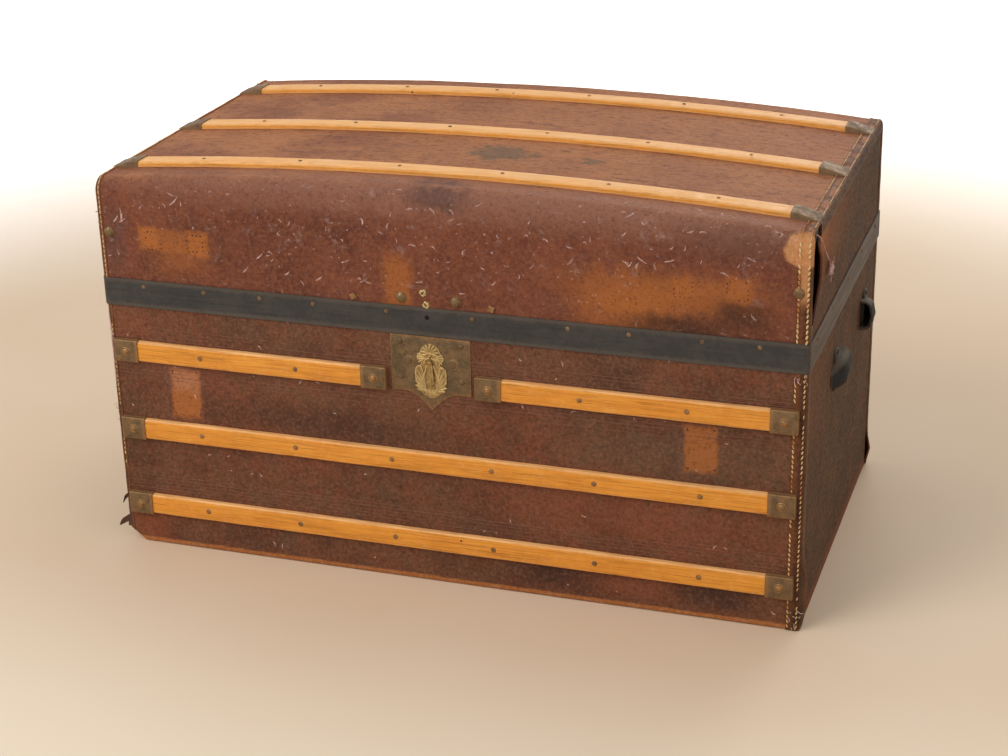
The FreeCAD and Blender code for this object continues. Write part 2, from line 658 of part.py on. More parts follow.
hood_middle = worth(f"{HOOD_Y} + dims.hood_width / 2")
lug_middle = worth("(dims.hood_height + dims.flange_lug) / 2")
hood_seats = []
for end, out in (("left", -1), ("right", 1)):
    for side, back in (("front", -1), ("rear", 1)):
        handle_cap(f"handle_cap_{end}_{side}", end, side)
        for lift in (-1, 1):
            level = worth(HANDLE_Z) + lift * lug_middle
            seat_x = out * (base_x + worth("dims.flange_thick"))
            seat_y = worth("dims.handle_offset") + back * hood_middle
            hood_seats.append(((seat_x, seat_y, level), (out, 0, 0)))
hood_bite = worth("dims.flange_thick") + bite
hood_nail = nail(worth("dims.stud_radius"), worth("dims.stud_height"), hood_bite)
fasteners("handle_cap_nails", driven(hood_nail, hood_seats))

# Butt hinges: the lower leaf holds the outer knuckles, the upper leaf the middle one
KNUCKLE = "(dims.hinge_width / 3)"
HALF_H = "(dims.hinge_width / 2)"
LEAF_EDGE = "(dims.knuckle_radius + dims.knuckle_clearance)"


def knuckles(name, spans, leaf_y, web_z):
    """Barrels about the hinge axis over some spans of X, with the webs that join them to a leaf."""
    parts = []
    for index, (low, high) in enumerate(spans):
        start = (low, HINGE_Y, SEAM)
        length = f"({high}) - ({low})"
        parts.append(rod(f"{name}_barrel_{index}", "dims.knuckle_radius", start, length, ALONG))
        parts.append(slab(f"{name}_web_{index}", (low, high), leaf_y, web_z))
    return parts


def leaf(name, spans, leaf_y, leaf_z, web_z, x):
    """One leaf of a hinge with its knuckles, bored for the pin."""
    sheet_metal = slab(f"{name}_plate", (f"-{HALF_H}", HALF_H), leaf_y, leaf_z)
    blank = fuse(f"{name}_blank", [sheet_metal] + knuckles(name, spans, leaf_y, web_z))
    start = (f"-{HALF_H} - dims.overrun", HINGE_Y, SEAM)
    bore = rod(f"{name}_bore", "dims.hinge_pin_radius + dims.running_clearance", start,
               "dims.hinge_width + 2 * dims.overrun", ALONG)
    return keep(place(cut(name, blank, bore), x, "0", "0"))


OUTER_SPANS = (
    (f"-{HALF_H}", f"-{KNUCKLE} / 2 - dims.knuckle_gap"),
    (f"{KNUCKLE} / 2 + dims.knuckle_gap", HALF_H),
)
MIDDLE_SPAN = ((f"-{KNUCKLE} / 2", f"{KNUCKLE} / 2"),)
LOWER_Y = (BASE_Y, f"{BASE_Y} + dims.hinge_metal")
UPPER_Y = (HALF_Y, f"{HALF_Y} + dims.hinge_metal")
LOWER_Z = (f"{SEAM} - {LEAF_EDGE} - dims.hinge_leaf_height", f"{SEAM} - {LEAF_EDGE}")
UPPER_Z = (f"{SEAM} + {LEAF_EDGE}", f"{SEAM} + {LEAF_EDGE} + dims.hinge_leaf_height")
pins = []
lower_seats = []
upper_seats = []
for side, sign in (("left", "-"), ("right", "")):
    middle = f"{sign}({HALF_X} - dims.hinge_inset)"
    leaf(f"hinge_lower_leaf_{side}", OUTER_SPANS, LOWER_Y, LOWER_Z, (LOWER_Z[1], SEAM), middle)
    leaf(f"hinge_upper_leaf_{side}", MIDDLE_SPAN, UPPER_Y, UPPER_Z, (SEAM, UPPER_Z[0]), middle)
    pin_from = (f"{middle} - {HALF_H} - dims.hinge_pin_overhang", HINGE_Y, SEAM)
    pins.append(rod(f"hinge_pin_{side}", "dims.hinge_pin_radius", pin_from,
                    "dims.hinge_width + 2 * dims.hinge_pin_overhang", ALONG))
    reach = worth(f"{HALF_H} - dims.screw_margin")
    for step in (-1, 1):
        along = worth(middle) + step * reach
        for level in (f"{LOWER_Z[0]} + dims.screw_margin", f"{LOWER_Z[1]} - dims.screw_margin"):
            lower_seats.append(((along, worth(LOWER_Y[1]), worth(level)), BACK))
        for level in (f"{UPPER_Z[0]} + dims.screw_margin", f"{UPPER_Z[1]} - dims.screw_margin"):
            upper_seats.append(((along, worth(UPPER_Y[1]), worth(level)), BACK))
keep(group("hinge_pins", pins))
screw = nail(worth("dims.screw_radius"), worth("dims.screw_height"), worth("dims.hinge_metal") + bite)
fasteners("hinge_lower_screws", driven(screw, lower_seats))
fasteners("hinge_upper_screws", driven(screw, upper_seats))

# Lid: nested solid shapes, from which boards, leather and bindings are cut
EDGE_X = f"({HALF_X} - dims.binding_leg)"
lid_outer = lid_form("lid_outer", HALF_X, "0")
lid_wood = lid_form("lid_wood", LID_X, "dims.leather")
lid_room = lid_form("lid_room", LID_ROOM_X, "(dims.leather + dims.board)")
lid_panel = lid_form("lid_panel", f"({HALF_X} + dims.overrun)", "dims.binding_leg")
lid_skin = cut("lid_skin", lid_outer, lid_wood)
lid_frame = cut("lid_frame", lid_wood, lid_room)
whole_y = (f"-{HALF_Y}", HALF_Y)
lid_z = (SEAM, LID_TOP)

lid_across = (f"-{LID_ROOM_X}", LID_ROOM_X)
lid_wall = (SEAM, RAIL_FOOT)
lid_crown = (RAIL_FOOT, LID_TOP)
keep(slab("lid_front_board", lid_across, mirrored((LID_ROOM_Y, LID_Y)), lid_wall))
keep(slab("lid_back_board", lid_across, (LID_ROOM_Y, LID_Y), lid_wall))
rail_y = (RAIL_Y, HALF_Y)
keep(common("lid_front_rail", lid_frame, slab("front_rail_span", lid_across, mirrored(rail_y), lid_crown)))
keep(common("lid_back_rail", lid_frame, slab("back_rail_span", lid_across, rail_y, lid_crown)))
keep(common("lid_top_board", lid_frame, slab("top_span", lid_across, (f"-{RAIL_Y}", RAIL_Y), lid_crown)))
keep(common("lid_leather_cover", lid_skin, slab("cover_span", (f"-{EDGE_X}", EDGE_X), whole_y, lid_z)))
for side in ("left", "right"):
    board_x, panel, strip_x = (LID_ROOM_X, LID_X), (LID_X, HALF_X), (EDGE_X, HALF_X)
    if side == "left":
        board_x, panel, strip_x = mirrored(board_x), mirrored(panel), mirrored(strip_x)
    keep(common(f"lid_{side}_board", lid_wood, slab(f"{side}_board_span", board_x, whole_y, lid_z)))
    keep(common(f"lid_{side}_leather", lid_panel, slab(f"{side}_panel_span", panel, whole_y, lid_z)))
    strip = common(f"{side}_strip", lid_skin, slab(f"{side}_strip_span", strip_x, whole_y, lid_z))
    keep(cut(f"lid_{side}_binding", strip, lid_panel))

# Band round the lid's front and ends, lapping over the seam
BAND_X = f"({HALF_X} + dims.band_metal)"
BAND_Y = f"({HALF_Y} + dims.band_metal)"
band_outer = slab("band_outer", (f"-{BAND_X}", BAND_X), (f"-{BAND_Y}", HALF_Y), (BAND_LOW, BAND_TOP))
band_inner = slab("band_inner", (f"-{HALF_X}", HALF_X), (f"-{HALF_Y}", f"{HALF_Y} + dims.overrun"),
                  (f"{BAND_LOW} - dims.overrun", f"{BAND_TOP} + dims.overrun"))
keep(cut("lid_band", band_outer, band_inner))
band_level = worth(f"{BAND_TOP} - dims.band_nail_drop")
band_seats = [((share * half_x, -worth(BAND_Y), band_level), FRONT) for share in BAND_FRONT_SHARES]
for out in (-1, 1):
    for share in BAND_END_SHARES:
        band_seats.append(((out * worth(BAND_X), share * half_y, band_level), (out, 0, 0)))
band_bite = worth("dims.band_metal") + bite
band_nail = nail(worth("dims.band_nail_radius"), worth("dims.band_nail_height"), band_bite)
fasteners("band_nails", driven(band_nail, band_seats))

# Top slats, bowed over the crown, each end under a cap of thin steel
SLAT_TOP = f"({CROWN_R} + dims.slat_thick)"
top_points = (
    (f"-{HALF_W}", CROWN_R, None),
    (HALF_W, CROWN_R, None),
    (HALF_W, f"{SLAT_TOP} - {EASE}", EASE),
    (f"{HALF_W} - {EASE}", SLAT_TOP, None),
    (f"-{HALF_W} + {EASE}", SLAT_TOP, EASE),
    (f"-{HALF_W}", f"{SLAT_TOP} - {EASE}", None),
)
CAP_W = f"({HALF_W} + dims.cap_metal)"
CAP_TOP = f"({SLAT_TOP} + dims.cap_metal)"
cap_points = (
    (f"-{CAP_W}", CROWN_R, None),
    (f"-{HALF_W}", CROWN_R, None),
    (f"-{HALF_W}", SLAT_TOP, None),
    (HALF_W, SLAT_TOP, None),
    (HALF_W, CROWN_R, None),
    (CAP_W, CROWN_R, None),
    (CAP_W, CAP_TOP, None),
    (f"-{CAP_W}", CAP_TOP, None),
)
TOP_SLATS = (
    ("top_slat_front", f"dims.top_slat_front_inset - {HALF_Y}"),
    ("top_slat_middle", "dims.top_slat_offset"),
    ("top_slat_rear", f"{HALF_Y} - dims.top_slat_rear_inset"),
)
TOP_END = f"({HALF_X} - dims.top_cap_inset)"
cap_span = (f"{TOP_END} - dims.cap_length", f"{HALF_X} + dims.overrun")


def on_crown(x, y, lift):
    """Seat on the crown at a place along and across the lid, lifted by what lies on the leather."""
    tilt = math.asin(x / worth(CROWN_R))
    outward = (math.sin(tilt), 0, math.cos(tilt))
    reach = worth(CROWN_R) + lift
    return ((reach * outward[0], y, worth(CROWN_Z) + reach * outward[2]), outward)


top_caps = []
top_cap_seats = []
top_slat_seats = []
for name, y in TOP_SLATS:
    keep(bowed(name, top_points, f"({TOP_END} - dims.cap_metal)", y))
    level = worth(y)
    for side in ("left", "right"):
        span = cap_span if side == "right" else mirrored(cap_span)
        shell = bowed(f"{name}_{side}_shell", cap_points, TOP_END, y)
        reach = slab(f"{name}_{side}_reach", span, whole_y, (SEAM, f"{LID_TOP} + {SLAT_TOP}"))
        top_caps.append(common(f"{name}_{side}_cap", shell, reach))
    for out in (-1, 1):
        for step in (-0.5, 0.5):
            along = worth(f"{TOP_END} - dims.cap_length / 2") + step * worth("dims.top_cap_nail_pitch")
            top_cap_seats.append(on_crown(out * along, level, worth("dims.slat_thick + dims.cap_metal")))
    count = int(worth(f"2 * ({TOP_END} - dims.cap_length)") / worth("dims.slat_nail_pitch"))
    for index in range(count):
        along = (index - (count - 1) / 2) * worth("dims.slat_nail_pitch")
        top_slat_seats.append(on_crown(along, level, worth("dims.slat_thick")))
keep(group("top_slat_caps", top_caps))
top_cap_nail = nail(worth("dims.top_cap_nail_radius"), worth("dims.slat_nail_height"), cap_bite)
fasteners("top_cap_nails", driven(top_cap_nail, top_cap_seats))
fasteners("top_slat_nails", driven(slat_nail, top_slat_seats))

# Large dome nails on the lid's front, and square rivets left above the lock
dome_nail = nail(worth("dims.dome_nail_radius"), worth("dims.dome_nail_height"), bite)
side_level = worth(f"{SEAM} + dims.dome_nail_side_rise")
near_level = worth(f"{BAND_TOP} + dims.dome_nail_lock_rise")
dome_seats = []
for sign in (-1, 1):
    side_x = sign * worth(f"{HALF_X} - dims.dome_nail_end_inset")
    near_x = lock_x + sign * worth("dims.dome_nail_lock_spread")
    dome_seats.append(((side_x, -half_y, side_level), FRONT))
    dome_seats.append(((near_x, -half_y, near_level), FRONT))
fasteners("lid_dome_nails", driven(dome_nail, dome_seats))
width = worth("dims.hasp_rivet_width")
corner = FreeCAD.Vector(-width / 2, -width / 2, 0)
square_head = Part.makeBox(width, width, worth("dims.hasp_rivet_height"), corner)
ground, down = FreeCAD.Vector(0, 0, 0), FreeCAD.Vector(0, 0, -1)
shank = Part.makeCylinder(worth("dims.shank_radius"), bite, ground, down)
hasp_rivet = square_head.fuse(shank).removeSplitter()
hasp_level = worth(f"{BAND_TOP} + dims.hasp_rivet_gap + dims.hasp_rivet_width / 2")
hasp_spread = worth("dims.hasp_rivet_spread")
hasp_x = lock_x + worth("dims.hasp_offset")
hasp_seats = [((hasp_x + sign * hasp_spread, -half_y, hasp_level), FRONT) for sign in (-1, 1)]
fasteners("hasp_rivets", driven(hasp_rivet, hasp_seats))

doc.recompute()
for thing in doc.Objects:
    if "Invalid" in thing.State or "Error" in thing.State:
        raise RuntimeError(f"{thing.Name} could not be worked out")
for thing in pieces:
    if thing.Shape.isNull() or not thing.Shape.isValid():
        raise RuntimeError(f"{thing.Label} has no valid shape")
os.makedirs("parts", exist_ok=True)
for thing in pieces:
    thing.Shape.exportStep(f"parts/{thing.Label}.step")
print(len(pieces), "pieces")
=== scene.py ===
"""Leather, slats, metalwork and stage of a dome top trunk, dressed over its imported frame."""

import math
import random
from contextlib import contextmanager

import bmesh
import bpy
from mathutils import Matrix, Vector


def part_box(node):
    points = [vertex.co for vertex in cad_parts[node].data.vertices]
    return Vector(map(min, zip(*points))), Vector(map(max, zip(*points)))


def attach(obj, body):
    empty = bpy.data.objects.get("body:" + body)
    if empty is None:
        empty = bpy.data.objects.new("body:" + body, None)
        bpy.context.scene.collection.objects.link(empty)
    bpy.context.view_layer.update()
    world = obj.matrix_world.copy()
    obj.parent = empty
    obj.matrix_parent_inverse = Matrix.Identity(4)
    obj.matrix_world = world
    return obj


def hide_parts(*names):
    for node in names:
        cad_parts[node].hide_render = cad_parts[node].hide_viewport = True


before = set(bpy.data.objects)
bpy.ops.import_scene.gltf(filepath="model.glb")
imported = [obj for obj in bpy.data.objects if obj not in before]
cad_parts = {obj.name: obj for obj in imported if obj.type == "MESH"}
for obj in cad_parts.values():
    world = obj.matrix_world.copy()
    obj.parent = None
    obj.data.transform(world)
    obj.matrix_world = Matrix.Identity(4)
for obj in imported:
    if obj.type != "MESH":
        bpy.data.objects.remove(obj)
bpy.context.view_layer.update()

bl_info = {
    "name": "Dome Top Trunk",
    "version": (1, 0, 0),
    "blender": (4, 5, 0),
    "location": "View3D > Sidebar > Trunk",
    "description": "Dresses a leather covered dome top trunk over its CAD frame",
    "category": "Add Mesh",
}

# Places that come from the frame, in metres.
COVER_LOW, COVER_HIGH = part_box("lid_leather_cover")
SEAM = COVER_LOW.z
LID_Y = COVER_HIGH.y
LID_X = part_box("lid_right_binding")[1].x
BASE_Y = -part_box("base_front_leather")[0].y
BASE_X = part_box("base_right_leather")[1].x
TOP_CAPS_LOW, TOP_CAPS_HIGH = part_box("top_slat_caps")
PLATE_LOW, PLATE_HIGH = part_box("lock_plate")
SHIELD_LOW, SHIELD_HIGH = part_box("lock_escutcheon")

# The lid's outside: upright walls, rounded long edges and a crown along the length.
CROWN_RISE = 0.020
EDGE_ROUND = 0.018
LID_END_TOP = COVER_HIGH.z - CROWN_RISE
CREST_Y = -LID_Y + 0.013
LID_WALL = LID_END_TOP - EDGE_ROUND - SEAM
ARCH_LENGTH = 2 * LID_WALL + math.pi * EDGE_ROUND + 2 * (LID_Y - EDGE_ROUND)
CROWN_RADIUS = LID_X**2 / (2 * CROWN_RISE) + CROWN_RISE / 2
BINDING_WIDTH = 0.016
LEFT_BINDING = 0.007
HIDE = 0.0025
STRIP = HIDE * 0.9
# Half lengths over the end boards and over the band where it turns the corner.
BOARD_END = 0.4530
BAND_END = 0.4572
# The broken front left foot: a point of the break and the way it faces.
BREAK_PLACE = (-0.436, -BASE_Y, 0.003)
BREAK_FACING = (-0.63, -0.40, -0.775)
# The split seam at the lid's right front edge: the height where it starts, the heights over which it opens
# and closes, the distance from the front where it ends and the depth over which it narrows.
SPLIT_FOOT, SPLIT_OPENS, SPLIT_CLOSES = 0.396, 0.06, 0.03
SPLIT_END, SPLIT_REACH = 0.0545, 0.046
# How near a place counts as the same one.
NEAR = 1e-5

# Dark marks and painted shade, as linear colours.
SOOT = (0.05, 0.02, 0.01, 1)
# Dark painted shade inside the slats' pin holes.
PIN_HOLE_SHADE = (0.03, 0.014, 0.008, 1)
# Near black painted shade for the boards' outer faces, seen through the split seam.
SPLIT_GAP_SHADE = (0.012, 0.008, 0.006, 1)
# Near black painted shade inside a nail hole.
NAIL_HOLE_SHADE = (0.004, 0.004, 0.004, 1)


def length(name, description, default):
    return bpy.props.FloatProperty(
        name=name, description=description, default=default, min=0.0, unit="LENGTH", precision=5
    )


def paint(name, description, *levels):
    """Colour that reads as these 0 to 255 levels of red, green and blue on a screen."""
    shares = [level / 255 for level in levels]
    linear = [v / 12.92 if v <= 0.04045 else ((v + 0.055) / 1.055) ** 2.4 for v in shares]
    return bpy.props.FloatVectorProperty(
        name=name, description=description, default=(*linear, 1.0), size=4, min=0.0, max=1.0,
        subtype="COLOR",
    )


class TrunkSizes(bpy.types.PropertyGroup):
    """Sizes of the dressed pieces."""

    slat_round: length("Slat rounding", "Radius of the slats' worn long edges", 0.0036)
    cap_round: length("Cap rounding", "Radius of the bent edges of the slat caps", 0.0016)
    stitch_pitch: length("Stitch pitch", "Distance between two stitches of a seam", 0.0065)
    stitch_length: length("Stitch length", "Length of one visible stitch", 0.0062)
    thread_round: length("Thread thickness", "Radius of the linen thread", 0.00125)
    swell: length("Leather swell", "How far the old leather rises and sinks", 0.0011)
    binding_proud: length("Binding height", "How far the bindings stand over the hide", 0.0008)
    split_lift: length("Split lift", "How far the split end leather lifts at the top", 0.0135)


class TrunkColours(bpy.types.PropertyGroup):
    """Colours of the leathers, woods and metals."""

    lid_red: paint("Lid brown", "Red brown hide of the lid's front", 122, 70, 52)
    lid_dark: paint("Lid dark", "Dark blotches of the lid's hide", 80, 46, 38)
    lid_tan: paint("Lid tan", "Faded hide of the lid's top", 172, 113, 75)
    lid_dust: paint("Lid dust", "Dusty bloom along the lid's front edge", 148, 104, 86)
    lid_plum: paint("Lid smudge", "Bluish brown smudges on the lid", 92, 68, 62)
    scar: paint("Strap scar", "Pale hide where the straps were sewn on", 172, 102, 50)
    stain: paint("Stain", "Old dark stain on the top", 84, 80, 66)
    rough_out: paint("Worn leather", "Bare fibres where the finish is gone", 202, 146, 100)
    scuff: paint("Scuff", "Pale strokes where the hide was grazed", 230, 196, 188)
    base_brown: paint("Base brown", "Brown hide of the base", 113, 73, 51)
    base_dark: paint("Base dark", "Dark blotches of the base's hide", 62, 43, 34)
    base_red: paint("Base red", "Redder parts of the base's hide", 133, 74, 49)
    base_olive: paint("Base olive", "Greyed parts of the base's hide", 102, 81, 61)
    end_olive: paint("End olive", "Olive brown hide of the ends", 88, 64, 43)
    end_dark: paint("End dark", "Dark streaks of the ends", 62, 45, 31)
    end_umber: paint("End umber", "Warm patches of the ends", 122, 74, 42)
    binding: paint("Binding", "Dark leather of the corner bindings", 76, 44, 33)
    slat_honey: paint("Slat honey", "Varnished wood of the front slats", 232, 154, 58)
    slat_amber: paint("Slat amber", "Darker growth rings of the slats", 208, 124, 40)
    # Pale wood: bleaching of the top slats, and the painted highlight on the slats' upward faces and top
    # edges.
    slat_bleached_and_lit: paint("Slat pale", "Bleached wood of the top slats", 244, 186, 122)
    band_black: paint("Band black", "Japanned iron of the lid's band", 59, 57, 55)
    band_dust: paint("Band dust", "Worn and dusty parts of the band", 92, 82, 73)
    bronze: paint("Bronze", "Lacquered metal of the front caps and the lock", 123, 97, 68)
    bronze_dark: paint("Bronze dark", "Tarnish on the bronze", 88, 71, 50)
    brass: paint("Brass", "Yellow brass of the escutcheon and nails", 170, 135, 82)
    brass_dark: paint("Brass dark", "Tarnish in the hollows of the brass", 100, 77, 44)
    # Rubbed brass edges, their pale colour also a painted highlight.
    brass_rubbed_and_lit: paint("Brass worn", "Rubbed edges of the brass", 226, 196, 136)
    copper: paint("Copper", "Copper brown of the rivets on the caps", 160, 116, 72)
    steel: paint("Steel", "Weathered metal of the top caps", 134, 106, 78)
    steel_dark: paint("Steel dark", "Rusty parts of the weathered metal", 90, 71, 52)
    iron: paint("Iron", "Black cast iron of the handle caps", 36, 33, 31)
    iron_dust: paint("Iron dust", "Grey dust that lies on the iron", 112, 98, 84)
    pine: paint("Pine", "Bare boards inside the trunk", 196, 158, 112)
    pine_dark: paint("Pine dark", "Growth rings of the boards", 150, 108, 68)
    thread: paint("Thread", "Waxed linen of the seams", 236, 206, 146)
    floor: paint("Floor", "Pale floor under the trunk", 226, 200, 170)


# Modelling by hand, in short calls.


def only(piece):
    """Make this the one selected and active object."""
    bpy.ops.object.select_all(action="DESELECT")
    piece.select_set(True)
    bpy.context.view_layer.objects.active = piece


@contextmanager
def editing(piece):
    """Edit mode on one piece."""
    only(piece)
    bpy.ops.object.mode_set(mode="EDIT")
    yield
    bpy.ops.object.mode_set(mode="OBJECT")


def add(kind, name, **settings):
    """New primitive, named and with its place in its mesh."""
    bpy.ops.object.select_all(action="DESELECT")
    getattr(bpy.ops.mesh, f"primitive_{kind}_add")(**settings)
    piece = bpy.context.object
    bpy.ops.object.transform_apply(location=True, rotation=True, scale=True)
    piece.name = piece.data.name = name
    return piece


def block(name, low, high):
    """Cube between two corners, as the start of a piece."""
    low, high = Vector(low), Vector(high)
    return add("cube", name, size=1, location=(low + high) / 2, scale=high - low)


def ball(name, segments, rings):
    """Sphere of radius 1, as the start of a small shape."""
    return add("uv_sphere", name, segments=segments, ring_count=rings, radius=1)


def middle(part):
    """Middle of a face or edge."""
    return sum((corner.co for corner in part.verts), Vector()) / len(part.verts)


def pick(kind, test):
    """Select the faces or edges that pass a test, in edit mode."""
    bpy.ops.mesh.select_mode(type=kind)
    bpy.ops.mesh.select_all(action="DESELECT")
    mesh = bpy.context.object.data
    form = bmesh.from_edit_mesh(mesh)
    for part in {"FACE": form.faces, "EDGE": form.edges}[kind]:
        if test(part):
            part.select_set(True)
    form.select_flush_mode()
    bmesh.update_edit_mesh(mesh)


def cut_off(test):
    """Delete the faces that pass a test, in edit mode."""
    pick("FACE", test)
    bpy.ops.mesh.delete(type="FACE")


def round_edges(width, segments, **at):
    """Bevel the edges between two faces whose middle lies at these places, in edit mode."""
    def found(edge):
        centre = middle(edge)
        return len(edge.link_faces) == 2 and all(
            abs(getattr(centre, axis) - place) < NEAR for axis, place in at.items())

    pick("EDGE", found)
    bpy.ops.mesh.bevel(offset=width, segments=segments, affect="EDGES")


def cut_through(place, across, **settings):
    """Cut the whole piece in edit mode along a plane."""
    bpy.ops.mesh.select_all(action="SELECT")
    bpy.ops.mesh.bisect(plane_co=place, plane_no=across, **settings)


def saw(axis, low, high, count):
    """Cut the piece in edit mode across an axis into this many equal parts."""
    across = Vector((axis == "X", axis == "Y", axis == "Z"))
    for i in range(1, count):
        cut_through(across * (low + (high - low) * i / count), across)


def weld():
    """Merge the points of the piece in edit mode that lie on each other."""
    bpy.ops.mesh.select_all(action="SELECT")
    bpy.ops.mesh.remove_doubles(threshold=1e-6)


def shape(piece, moved):
    """Move every point of a piece to where a function of its place puts it."""
    for point in piece.data.vertices:
        point.co = moved(point.co.copy())


def sheet(name, columns, rows, placed):
    """Grid whose points are put in place by their share across, -0.5 to 0.5, and up, 0 to 1."""
    piece = add("grid", name, x_subdivisions=columns, y_subdivisions=rows, size=1)
    shape(piece, lambda p: placed(p.x, p.y + 0.5))
    return piece


def modify(piece, kind, **settings):
    """Give a piece one modifier and apply it."""
    only(piece)
    made = piece.modifiers.new(kind.lower(), kind)
    for name, value in settings.items():
        setattr(made, name, value)
    bpy.ops.object.modifier_apply(modifier=made.name)


def thicken(piece, thickness, offset=-1):
    """Give a sheet its thickness: -1 inward, 1 outward, 0 both ways."""
    modify(piece, "SOLIDIFY", thickness=thickness, offset=offset)


def swell(piece, size, strength):
    """Raise and sink a piece's surface in soft waves of one size."""
    clouds = bpy.data.textures.new(piece.name + "_swell", "CLOUDS")
    clouds.noise_scale = size
    clouds.noise_depth = 1
    modify(piece, "DISPLACE", texture=clouds, strength=strength, mid_level=0.5)


def join(name, *pieces):
    """Join pieces into the first one."""
    bpy.ops.object.select_all(action="DESELECT")
    for piece in pieces:
        piece.select_set(True)
    bpy.context.view_layer.objects.active = pieces[0]
    bpy.ops.object.join()
    pieces[0].name = pieces[0].data.name = name
    return pieces[0]


def linked(name, data):
    """New object of this data, in the scene."""
    piece = bpy.data.objects.new(name, data)
    bpy.context.scene.collection.objects.link(piece)
    return piece


def strew(name, pattern, places):
    """Copy a small shape to many places, in one mesh, and drop the pattern."""
    form = bmesh.new()
    for place in places:
        first = len(form.verts)
        form.from_mesh(pattern.data)
        form.verts.ensure_lookup_table()
        bmesh.ops.transform(form, matrix=place, verts=form.verts[first:])
    mesh = bpy.data.meshes.new(name)
    form.to_mesh(mesh)
    form.free()
    bpy.data.objects.remove(pattern)
    return linked(name, mesh)


def tube(name, lines, radius, sides=2):
    """Round strands along smooth lines, as one mesh."""
    curve = bpy.data.curves.new(name, "CURVE")
    curve.dimensions = "3D"
    curve.bevel_depth = radius
    curve.bevel_resolution = sides
    curve.use_fill_caps = True
    for line in lines:
        spline = curve.splines.new("NURBS")
        spline.points.add(len(line) - 1)
        for point, place in zip(spline.points, line):
            point.co = (*place, 1)
        spline.order_u = 3
        spline.use_endpoint_u = True
        spline.resolution_u = 4
    only(linked(name, curve))
    bpy.ops.object.convert(target="MESH")
    return bpy.context.object


def mark_worn(piece):
    """Keep in attributes how convex the surface is at each point and how far it faces up."""
    form = bmesh.new()
    form.from_mesh(piece.data)
    form.normal_update()
    worn, up = [], []
    for point in form.verts:
        turns = [e.calc_face_angle_signed(0.0) for e in point.link_edges]
        worn.append(min(1.0, max(turns, default=0.0) / math.radians(40)))
        up.append(max(0.0, point.normal.z))
    form.free()
    for name, levels in (("worn", worn), ("up", up)):
        made = piece.data.attributes.new(name, "FLOAT", "POINT")
        made.data.foreach_set("value", levels)


def settle(piece, body, slot, material, *nodes, angle=35):
    """Finish a piece: its wear, material, shading, body and the nodes it stands for; its slot is not used."""
    mark_worn(piece)
    piece.data.materials.clear()
    piece.data.materials.append(bpy.data.materials[material])
    only(piece)
    bpy.ops.object.shade_smooth_by_angle(angle=math.radians(angle))
    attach(piece, body)
    if nodes:
        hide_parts(*nodes)
    return piece


def solids(node):
    """Lowest and highest corners of each separate solid in a node."""
    form = bmesh.new()
    form.from_mesh(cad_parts[node].data)
    bmesh.ops.remove_doubles(form, verts=form.verts, dist=1e-6)
    left, found = set(form.verts), []
    while left:
        ends = [left.pop()]
        group = list(ends)
        while ends:
            near = {v for e in ends.pop().link_edges for v in e.verts} & left
            left -= near
            ends += near
            group += near
        axes = list(zip(*(v.co for v in group)))
        found.append((Vector(map(min, axes)), Vector(map(max, axes))))
    form.free()
    return sorted(found, key=lambda corners: tuple(round(v, 5) for v in corners[0]))


def fasteners(node):
    """Outermost point, radius and outward direction of each fastener in a node."""
    found = []
    for low, high in solids(node):
        size, tip = high - low, (low + high) / 2
        out = Vector((math.copysign(1, tip.x), 0, 0))
        if node.startswith("top_"):
            out = Vector((0, 0, 1))
        elif tip.y < -LID_Y + BINDING_WIDTH:
            out = Vector((0, -1, 0))
        axis = max(range(3), key=lambda i: abs(out[i]))
        tip[axis] = high[axis] if out[axis] > 0 else low[axis]
        found.append((tip, max(size[i] for i in range(3) if i != axis) / 2, out))
    return found


def seated(tip, radius, out, height, turn=0.0):
    """Where a unit head goes so that it stands this high under its outermost point."""
    spin = out.to_track_quat("Z", "Y").to_matrix().to_4x4()
    size = Matrix.Diagonal((radius, radius, height, 1))
    return Matrix.Translation(tip - out * height) @ spin @ Matrix.Rotation(turn, 4, "Z") @ size


# The lid's outside.


def held(value):
    """A value kept between 0 and 1."""
    return min(1, max(0, value))


def crown(x):
    """Rise of the lid's top at a place along its length."""
    return math.sqrt(CROWN_RADIUS**2 - x**2) - math.sqrt(CROWN_RADIUS**2 - LID_X**2)


def bowed(place):
    """A point of a straight lid, raised with the crown and less towards the seam."""
    return place + Vector((0, 0, crown(min(LID_X, abs(place.x))) * held((place.z - SEAM) / LID_WALL)))


def arch(walk, proud=0.0):
    """Place (y, z) and outward direction, this far along the lid's outside from the front seam."""
    if walk > ARCH_LENGTH / 2:
        (y, z), out = arch(ARCH_LENGTH - walk, proud)
        return (-y, z), (-out[0], out[1])
    turn = EDGE_ROUND * math.pi / 2
    if walk < LID_WALL:
        place, out = (-LID_Y, SEAM + walk), (-1, 0)
    elif walk < LID_WALL + turn:
        angle = (walk - LID_WALL) / EDGE_ROUND
        out = (-math.cos(angle), math.sin(angle))
        place = (EDGE_ROUND - LID_Y + out[0] * EDGE_ROUND, SEAM + LID_WALL + out[1] * EDGE_ROUND)
    else:
        place, out = (EDGE_ROUND - LID_Y + walk - LID_WALL - turn, LID_END_TOP), (0, 1)
    return (place[0] + out[0] * proud, place[1] + out[1] * proud), out


def lid_block(name, low_x, high_x, foot, grow=0.0):
    """Straight lid between two ends, with its long top edges rounded."""
    top = LID_END_TOP + grow
    piece = block(name, (low_x, -LID_Y - grow, foot), (high_x, LID_Y + grow, top))
    with editing(piece):
        round_edges(EDGE_ROUND + grow, 14, x=(low_x + high_x) / 2, z=top)
    return piece


# Materials.


